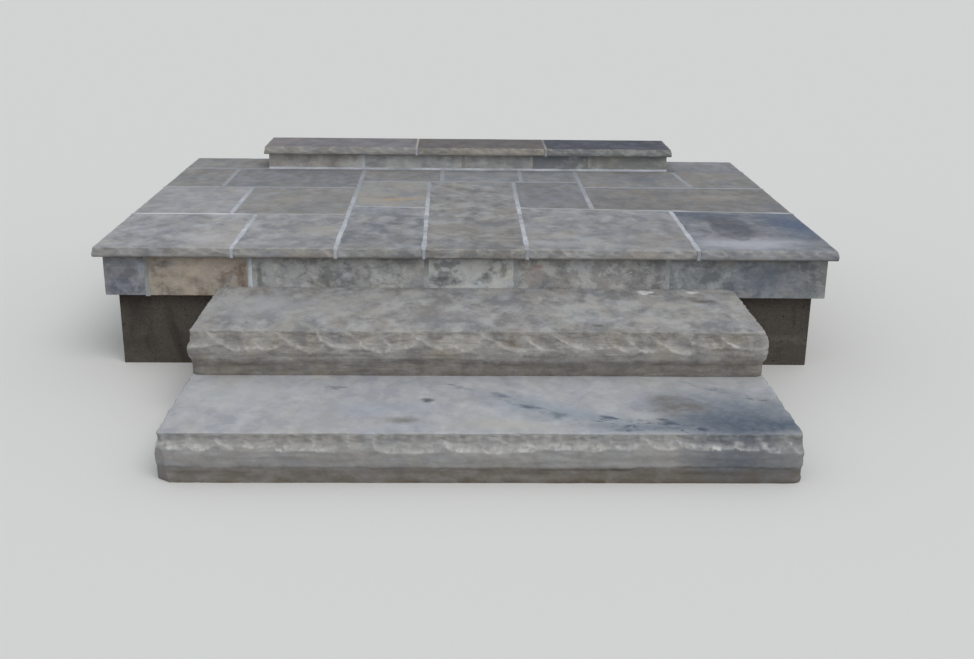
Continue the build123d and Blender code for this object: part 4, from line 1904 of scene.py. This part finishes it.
@dataclass
class Landing:
    """The flagged landing with its joints, and the panels that face it under the flags."""

    front_pitch: float = 6.5 * MM
    back_pitch: float = 12 * MM

    def build_flags(self) -> None:
        """Lay every flag."""
        for number, plan in enumerate(FLAGS):
            front = Side.FRONT in plan.sides
            sides = {Side.TOP: SPLIT_TOP}
            for side in plan.sides:
                sides[side] = PITCHED_EDGE
            body, pale, dark, warm = plan.tone.value
            finish = replace(
                GREY_FLAG, name=f"flag_{plan.name}", body=body, pale=pale, dark=dark, warm=warm,
                # The flag's light darkens its top: painted shade.
                top=(plan.light, plan.light, plan.light, 1.0), shift=1.0 + number, marks=plan.marks,
                side=(plan.edge, 0.985 * plan.edge, 0.95 * plan.edge, 1.0),
                beds=0.4 if plan.sides else 0.0, patchy=0.85 if front else 0.5,
            )
            Stone(
                node=f"flag_{plan.name}",
                slot="flag_tan" if plan.tone is Tone.TAN else "flag",
                finish=finish,
                seed=40 + number,
                sides=sides,
                pitch=self.front_pitch if front else self.back_pitch,
                rows=12 if plan.sides else 5,
            ).build()

    def build_panels(self) -> None:
        """Set the panels under the nosing."""
        tones = {
            1: replace(
                PANEL, body=colour(134, 137, 145), pale=colour(160, 163, 170), dark=colour(108, 111, 120),
            ),
            2: replace(
                PANEL, body=colour(168, 159, 148), pale=colour(186, 176, 164), warm=colour(160, 143, 124),
                dark=colour(136, 127, 118), warmth=0.6, marks=upright(
                    blot(-0.86, 0.385, 0.055, 0.085, (112, 94, 82), 0.75, ragged=1.1, soft=0.8),
                    ring(-0.91, 0.35, 0.060, 0.060, (118, 98, 84), 0.6, ragged=1.0),
                    blot(-1.05, 0.35, 0.055, 0.035, (116, 106, 106), 0.7, ragged=0.9),
                    blot(-1.16, 0.42, 0.060, 0.020, (112, 108, 112), 0.7, ragged=0.9),
                    blot(-0.98, 0.40, 0.090, 0.040, (176, 160, 152), 0.6, ragged=0.9),
                )),
            3: replace(PANEL, marks=upright(
                blot(-0.765, 0.385, 0.018, 0.085, (176, 180, 180), 0.8, turn=-6, ragged=0.3, soft=0.6),
                blot(-0.468, 0.378, 0.026, 0.014, (186, 186, 192), 0.9, ragged=0.7, soft=0.6),
                blot(-0.805, 0.37, 0.016, 0.060, (100, 108, 106), 0.7, ragged=0.4, soft=0.6),
                ring(-0.33, 0.38, 0.085, 0.052, (112, 114, 116), 0.45, ragged=1.2),
                ring(-0.63, 0.39, 0.070, 0.045, (178, 179, 178), 0.5, ragged=1.2),
                blot(-0.56, 0.36, 0.050, 0.045, (108, 108, 106), 0.6, ragged=1.2, soft=0.8),
            )),
            4: replace(
                PANEL, body=colour(192, 193, 191), pale=colour(202, 203, 200), wisps=0.15, patchy=0.8,
                marks=upright(
                    blot(-0.08, 0.358, 0.095, 0.028, (96, 98, 100), 1.0, ragged=0.8, soft=0.8),
                    blot(0.074, 0.371, 0.032, 0.034, (106, 108, 110), 0.9, ragged=0.7, soft=0.8),
                )),
            5: replace(PANEL, body=colour(153, 151, 150), warm=colour(166, 153, 145), marks=upright(
                blot(0.255, 0.385, 0.060, 0.050, (168, 158, 152), 0.7, ragged=0.7, soft=0.6),
                blot(0.275, 0.416, 0.026, 0.010, (176, 128, 124), 0.7, ragged=0.8, soft=0.6),
                vein(0.60, 0.385, 0.150, 0.060, (188, 188, 186), 0.8, turn=-28, soft=0.6),
            )),
            # Panel 6 is bluer, and darker to the right: partly its own colour, partly painted shade.
            6: replace(
                PANEL, body=colour(138, 142, 145), pale=colour(166, 169, 171), dark=colour(112, 116, 121),
                marks=upright(blot(1.18, 0.36, 0.24, 0.12, (108, 116, 130), 0.7)),
            ),
        }
        for number, finish in tones.items():
            Stone(
                node=f"riser_panel_{number}",
                slot="riser_tan" if number == 2 else "riser_grey",
                finish=replace(finish, name=f"riser_panel_{number}", shift=30.0 + number),
                seed=70 + number,
                sides={Side.FRONT: SPLIT_PANEL},
                pitch=7 * MM,
                rows=22,
                # A dark band at the panel's head, under the nosing: painted shadow, with some dirt.
                head_shade_and_grime=0.5,
                **FACING,
            ).build()

    def build_side_panels(self) -> None:
        """Set the panels at the landing's two ends."""
        for number, (name, side) in enumerate((("left", Side.LEFT), ("right", Side.RIGHT))):
            StoneRow(
                node=f"side_riser_panels_{name}",
                slot="riser_grey",
                finish=replace(PANEL, name=f"side_riser_panels_{name}", shift=61.0 + number),
                seed=100 + 10 * number,
                sides={side: SPLIT_PANEL},
                pitch=9 * MM,
                rows=18,
                flat=0,
                **FACING,
            ).build()

    def build_joints(self) -> None:
        """Strike the joints between the flags and between the panels."""
        flags_low, flags_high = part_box("landing_mortar")
        riser_low, riser_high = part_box("riser_mortar")
        front, left, right, foot, head = (1, False), (0, False), (0, True), (2, False), (2, True)
        beds = (
            ("landing_joints", "landing_mortar", 2, 1, flags_high.z, 1.2 * MM, (front, left, right)),
            ("nosing_joints", "landing_mortar", 1, -1, flags_low.y, -5 * MM, (foot, head)),
            ("nosing_joints_left", "landing_mortar", 0, -1, flags_low.x, -5 * MM, (foot, head)),
            ("nosing_joints_right", "landing_mortar", 0, 1, flags_high.x, -5 * MM, (foot, head)),
            ("riser_joints", "riser_mortar", 1, -1, riser_low.y, 0.8 * MM, ()),
            ("riser_joints_left", "riser_mortar", 0, -1, riser_low.x, 0.8 * MM, ()),
            ("riser_joints_right", "riser_mortar", 0, 1, riser_high.x, 0.8 * MM, ()),
        )
        riser_mortar = replace(
            MORTAR, name="riser_mortar", body=colour(160, 163, 162), dark=colour(136, 138, 138),
            pale=colour(178, 181, 182),
            marks=upright(blot(-0.829, 0.37, 0.03, 0.12, (206, 214, 222), 1.0, soft=0.6)),
        ).make()
        nosing_mortar = replace(
            MORTAR, name="nosing_mortar", body=colour(152, 152, 149), dark=colour(128, 128, 125),
            pale=colour(172, 172, 168),
        ).make()
        flag_mortar = replace(MORTAR, name="flag_mortar", marks=(
            # The first blot darkens the joints towards the back: painted shade.
            blot(0, 1.02, 3.0, 0.72, (140, 144, 150), 0.85, ragged=0, soft=0.55),
            blot(-0.72, 0.14, 0.24, 0.04, (154, 151, 146), 0.85, ragged=0.2, soft=0.3),
            blot(0.55, 0.30, 0.38, 0.07, (154, 152, 148), 0.8, ragged=0.2, soft=0.3),
            blot(1.20, 0.27, 0.28, 0.05, (146, 146, 146), 0.8, ragged=0.2, soft=0.3),
            blot(-1.20, 0.13, 0.26, 0.03, (214, 214, 220), 0.8, ragged=0.2, soft=0.4),
            blot(-0.34, 0.32, 0.16, 0.03, (150, 152, 158), 0.7, ragged=0.2, soft=0.4),
            blot(1.2, 1.193, 0.7, 0.03, (104, 107, 114), 0.8, ragged=0.2, soft=0.3),
        )).make()
        materials = {"riser": riser_mortar, "nosing": nosing_mortar, "landing": flag_mortar}
        for name, node, axis, facing, plane, rise, rolls in beds:
            material = materials[name.split("_")[0]]
            JointFill(name, node, axis, facing, plane, material, rise=rise, rolls=rolls).build()


@dataclass
class SillStep:
    """The low step at the back: facing stones under three coping stones."""

    mortar: bpy.types.Material
    fillet: float = 13 * MM

    def build(self) -> None:
        """Set the facing stones and lay the coping."""
        bodies = (
            colour(160, 155, 151), colour(162, 162, 160), colour(158, 157, 154), colour(118, 122, 127),
            colour(142, 142, 138),
        )
        thin = {"slot": "sill_stone", "pitch": 9 * MM, "rows": 16, **FACING}
        for number, body in enumerate(bodies, 1):
            Stone(
                node=f"sill_riser_stone_{number}",
                finish=replace(SILL_STONE, name=f"sill_riser_stone_{number}", body=body, shift=40.0 + number),
                seed=80 + number,
                sides={Side.FRONT: SPLIT_PANEL},
                **thin,
            ).build()
        StoneRow(
            node="sill_end_stones",
            finish=replace(SILL_STONE, name="sill_end_stones", shift=47.0),
            seed=87,
            sides={Side.LEFT: SPLIT_PANEL, Side.RIGHT: SPLIT_PANEL},
            **thin,
        ).build()
        bodies = (colour(146, 145, 146), colour(150, 144, 137), colour(121, 124, 127))
        # Each coping stone's top is darkened against its front: painted shade, darkest at the right.
        shaded_tops = ((0.62, 0.60, 0.64, 1.0), (0.43, 0.42, 0.45, 1.0), (0.30, 0.31, 0.38, 1.0))
        ends = {"left": (Side.LEFT,), "middle": (), "right": (Side.RIGHT,)}
        for number, (name, end) in enumerate(ends.items()):
            tone = {"body": bodies[number], "top": shaded_tops[number]}
            sides = {Side.TOP: SPLIT_TOP, Side.FRONT: PITCHED_EDGE}
            sides.update(dict.fromkeys(end, PITCHED_EDGE))
            Stone(
                node=f"sill_coping_{name}",
                slot="sill_coping",
                finish=replace(COPING, name=f"sill_coping_{name}", shift=50.0 + number, **tone),
                seed=90 + number,
                foot_grime_and_shade=0.3,
                sides=sides,
                pitch=8 * MM,
                rows=12,
            ).build()
        low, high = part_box("sill_mortar")
        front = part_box("sill_riser_stone_1")[0].y + 2.5 * MM
        beige = replace(
            MORTAR, name="sill_mortar", body=colour(152, 150, 146), dark=colour(132, 130, 127),
            pale=colour(172, 170, 165), marks=(
                blot(-0.252, 0.59, 0.04, 0.08, (158, 155, 149), 1.0, face=Face.FRONT, soft=0.6),
                # This broad dark blot over the top joints is painted shade, as on the coping tops.
                blot(1.0, 1.45, 0.95, 0.25, (122, 121, 118), 1.0, ragged=0, soft=0.3),
                blot(-0.526, 0.53, 0.05, 0.09, (198, 198, 204), 1.0, face=Face.FRONT, soft=0.6),
            )).make()
        beds = (
            ("coping_joints_top", 2, 1, high.z, 0.4 * MM, ((1, False),)),
            ("coping_joints", 1, -1, low.y, -4 * MM, ((2, True),)),
            ("sill_joints", 1, -1, front, 0.4 * MM, ()),
        )
        for name, axis, facing, plane, rise, rolls in beds:
            JointFill(name, "sill_mortar", axis, facing, plane, beige, rise=rise, rolls=rolls).build()
        self.lay_fillet()

    def lay_fillet(self) -> None:
        """Point the foot of the sill with a fillet of mortar along its front."""
        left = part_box("sill_riser_stone_1")[0]
        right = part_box("sill_riser_stone_5")[1]
        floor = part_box("landing_mortar")[1].z
        low = Vector((left.x, left.y - self.fillet, floor - 6 * MM))
        high = Vector((right.x, left.y + 6 * MM, floor + self.fillet))
        fillet = add_block("sill_foot_fillet", low, high, (cells_for(high.x - low.x, 8 * MM), 6, 6))
        points = places(fillet)
        noise = Noise(17)
        run = points * (1, 0, 0)
        lean = np.clip((points[:, 1] - low.y) / self.fillet, 0, 1)
        worn = 0.78 + 0.22 * noise.fractal(run, 0.12, 4)
        height = np.clip(points[:, 2] - floor, 0, None) * (0.25 + 0.75 * lean ** 1.5) * worn
        points[:, 2] = np.where(points[:, 2] > floor, floor + height, points[:, 2])
        points[:, 1] += (1 - lean) * 2 * MM * noise.fractal(run + 4, 0.07, 3)
        set_places(fillet, points)
        smooth(fillet, JOINT_EDGE)
        fillet.data.materials.append(self.mortar)
        hand_in(fillet, JOINT_SLOT)


def dress_node(name: str, material: bpy.types.Material) -> None:
    """Give a node that keeps its own shape a better material.

    Args:
        name: The node's name.
        material: The material.
    """
    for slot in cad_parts[name].material_slots:
        slot.material = material


# The studio


@dataclass(frozen=True)
class Studio:
    """A plain pale floor, soft light and the camera.

    The camera's place is measured from the middle of the slab steps and the lower one's front arris,
    its turns are in degrees and its reach in pixels of a picture of the given width.
    """

    from_left: float = 1.475
    from_back: float = 2.945
    eye: tuple[float, float, float] = (-0.0729, -3.3718, 1.6153)
    yaw: float = 1.4555
    pitch: float = 18.270
    roll: float = 0.7222
    reach: float = 1179.77
    width: int = 974
    sensor: float = 36.0
    farthest: float = 400.0
    floor_size: float = 160.0
    floor_shown: Colour = colour(216, 216, 214)
    floor_bounce: Colour = colour(158, 152, 144)
    floor_rough: float = 0.95
    floor_gloss: float = 0.1
    wall_shown: Colour = colour(209, 212, 210)
    sky_tint: Colour = (0.94, 0.97, 1.0, 1.0)
    surround: float = 0.70
    key_tint: tuple[float, float, float] = (1.0, 0.985, 0.96)
    key: float = 1.05
    key_spread: float = 38.0
    key_height: float = 55.0
    key_side: float = 35.0

    def place_camera(self) -> None:
        """Set the camera where the picture was taken from."""
        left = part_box("flag_front_left_outer")[0].x
        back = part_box("landing_base")[1].y
        origin = Vector((left + self.from_left, back - self.from_back, 0))
        data = bpy.data.cameras.new("camera")
        camera = bpy.data.objects.new("camera", data)
        bpy.context.scene.collection.objects.link(camera)
        data.sensor_width = self.sensor
        data.sensor_fit = "HORIZONTAL"
        data.lens = self.reach * self.sensor / self.width
        data.clip_end = self.farthest
        camera.location = origin + Vector(self.eye)
        yaw, pitch, roll = (math.radians(turn) for turn in (self.yaw, self.pitch, self.roll))
        ahead = Vector((math.sin(yaw) * math.cos(pitch), math.cos(yaw) * math.cos(pitch), -math.sin(pitch)))
        across = Vector((math.cos(yaw), -math.sin(yaw), 0))
        above = across.cross(ahead)
        right = across * math.cos(roll) + above * math.sin(roll)
        up = above * math.cos(roll) - across * math.sin(roll)
        camera.rotation_mode = "QUATERNION"
        camera.rotation_quaternion = matrix_of(right, up, -ahead).to_quaternion()
        bpy.context.scene.camera = camera

    def lay_floor(self) -> None:
        """Lay the pale floor under the steps."""
        start_fresh()
        bpy.ops.mesh.primitive_plane_add(size=self.floor_size, location=(0, 0, 0))
        floor = bpy.context.object
        floor.name = "floor"
        recipe = Recipe("studio_floor")
        seen = recipe.nodes.new("ShaderNodeLightPath")
        shown = recipe.sum("MAXIMUM", seen.outputs["Is Camera Ray"], seen.outputs["Is Glossy Ray"])
        shown = recipe.sum("MAXIMUM", shown, seen.outputs["Is Transmission Ray"])
        tone = recipe.blend(shown, self.floor_bounce, self.floor_shown)
        recipe.shade(tone, self.floor_rough, self.floor_gloss)
        floor.data.materials.append(recipe.material)

    def light(self) -> None:
        """Light the steps from one broad soft lamp, high at the front right, and an even pale surround."""
        world = bpy.data.worlds.new("studio")
        bpy.context.scene.world = world
        world.use_nodes = True
        tree = world.node_tree
        sky = tree.nodes["Background"]
        sky.inputs["Color"].default_value = self.sky_tint
        sky.inputs["Strength"].default_value = self.surround
        wall = tree.nodes.new("ShaderNodeBackground")
        wall.inputs["Color"].default_value = self.wall_shown
        mix = tree.nodes.new("ShaderNodeMixShader")
        tree.links.new(tree.nodes.new("ShaderNodeLightPath").outputs["Is Camera Ray"], mix.inputs[0])
        tree.links.new(sky.outputs[0], mix.inputs[1])
        tree.links.new(wall.outputs[0], mix.inputs[2])
        tree.links.new(mix.outputs[0], tree.nodes["World Output"].inputs["Surface"])
        data = bpy.data.lights.new("key", "SUN")
        data.energy = self.key
        data.angle = math.radians(self.key_spread)
        data.color = self.key_tint
        key = bpy.data.objects.new("key", data)
        bpy.context.scene.collection.objects.link(key)
        height, side = (math.radians(turn) for turn in (self.key_height, self.key_side))
        level = math.cos(height)
        ahead = Vector((-math.sin(side) * level, math.cos(side) * level, -math.sin(height)))
        key.rotation_mode = "QUATERNION"
        key.rotation_quaternion = ahead.to_track_quat("-Z", "Y")


def matrix_of(right: Vector, up: Vector, back: Vector) -> Matrix:
    """The turn whose axes are three given ones.

    Args:
        right: Where its X axis points.
        up: Where its Y axis points.
        back: Where its Z axis points.

    Returns:
        The turn.
    """
    return Matrix((right, up, back)).transposed()


def main() -> None:
    """Build the steps and stand them in the studio."""
    logging.basicConfig(level=logging.INFO, format="%(message)s")
    mortar = MORTAR.make()
    concrete = ConcreteFinish().make()
    SlabStep(
        node="lower_step", slot="lower_slab", finish=LOWER_FINISH, seed=11,
        profile=((0, 0.002), (0.026, 0.003), (0.06, 0.001), (0.09, 0.0), (0.110, 0.0), (0.130, 0.003),
                 (0.150, 0.006), (0.165, 0.009)),
        ledges=(
            Ledge(0.054, 0.002, wave=0.013, crack_and_shade=0.5, rare=-0.5, grows=0.8),
            Ledge(0.036, 0.001, crack_and_shade=0.2, rare=0.0),
            Ledge(0.012, 0.001, crack_and_shade=0.35, rare=0.1),
        ),
        flaking=Flaking(
            width=0.21, height=0.062, depth=0.0125, pitch=0.088, skew=0.6, hollow=2.4, middle=0.05,
            lip=0.35, full=0.8, uneven=0.14, ridges=0.25, edges=0.15,
        ),
        top_relief=0.0012, top_cleft=0.0, face_relief=0.0024, back_corner=0.012, foot_grime_and_shade=1.0,
        grime_and_shade_top=0.060, grime_and_shade_full=0.040, teeth=2.0 * MM, arris_shade=0.30, arris=8 * MM,
        broken=(((0.015, 0.008, 0.146), (-0.58, -0.79, -0.11)),),
    ).build()
    SlabStep(
        node="upper_step", slot="upper_slab", finish=UPPER_FINISH, seed=23,
        profile=((0, 0.014), (0.03, 0.012), (0.05, 0.008), (0.064, 0.003), (0.085, 0.0), (0.112, 0.0),
                 (0.14, 0.003), (0.165, 0.007)),
        ledges=(
            Ledge(0.082, 0.002, crack_and_shade=0.2, rare=0.0),
            Ledge(0.066, 0.002, crack_and_shade=0.2, rare=-0.1),
            Ledge(0.050, 0.0015, crack_and_shade=0.3, rare=-0.1, lit=0.3, over=0.014),
        ),
        flaking=Flaking(
            width=0.165, height=0.068, depth=0.0155, pitch=0.118, skew=1.3, hollow=2.3, middle=0.06,
        ),
        top_relief=0.0018, top_cleft=0.0022, face_relief=0.0028, back_corner=0.04,
        foot_grime_and_shade=0.8, grime_and_shade_top=0.066, grime_and_shade_full=0.044, arris=8 * MM,
    ).build()
    landing = Landing()
    landing.build_flags()
    landing.build_panels()
    landing.build_side_panels()
    landing.build_joints()
    SillStep(mortar).build()
    for node in ("landing_mortar", "riser_mortar", "sill_mortar"):
        dress_node(node, mortar)
    for node in ("landing_base", "upper_step_footing", "sill_core"):
        dress_node(node, concrete)
    studio = Studio()
    studio.lay_floor()
    studio.light()
    studio.place_camera()
    bpy.context.scene.view_settings.view_transform = "Standard"


if __name__ == "__main__":
    main()
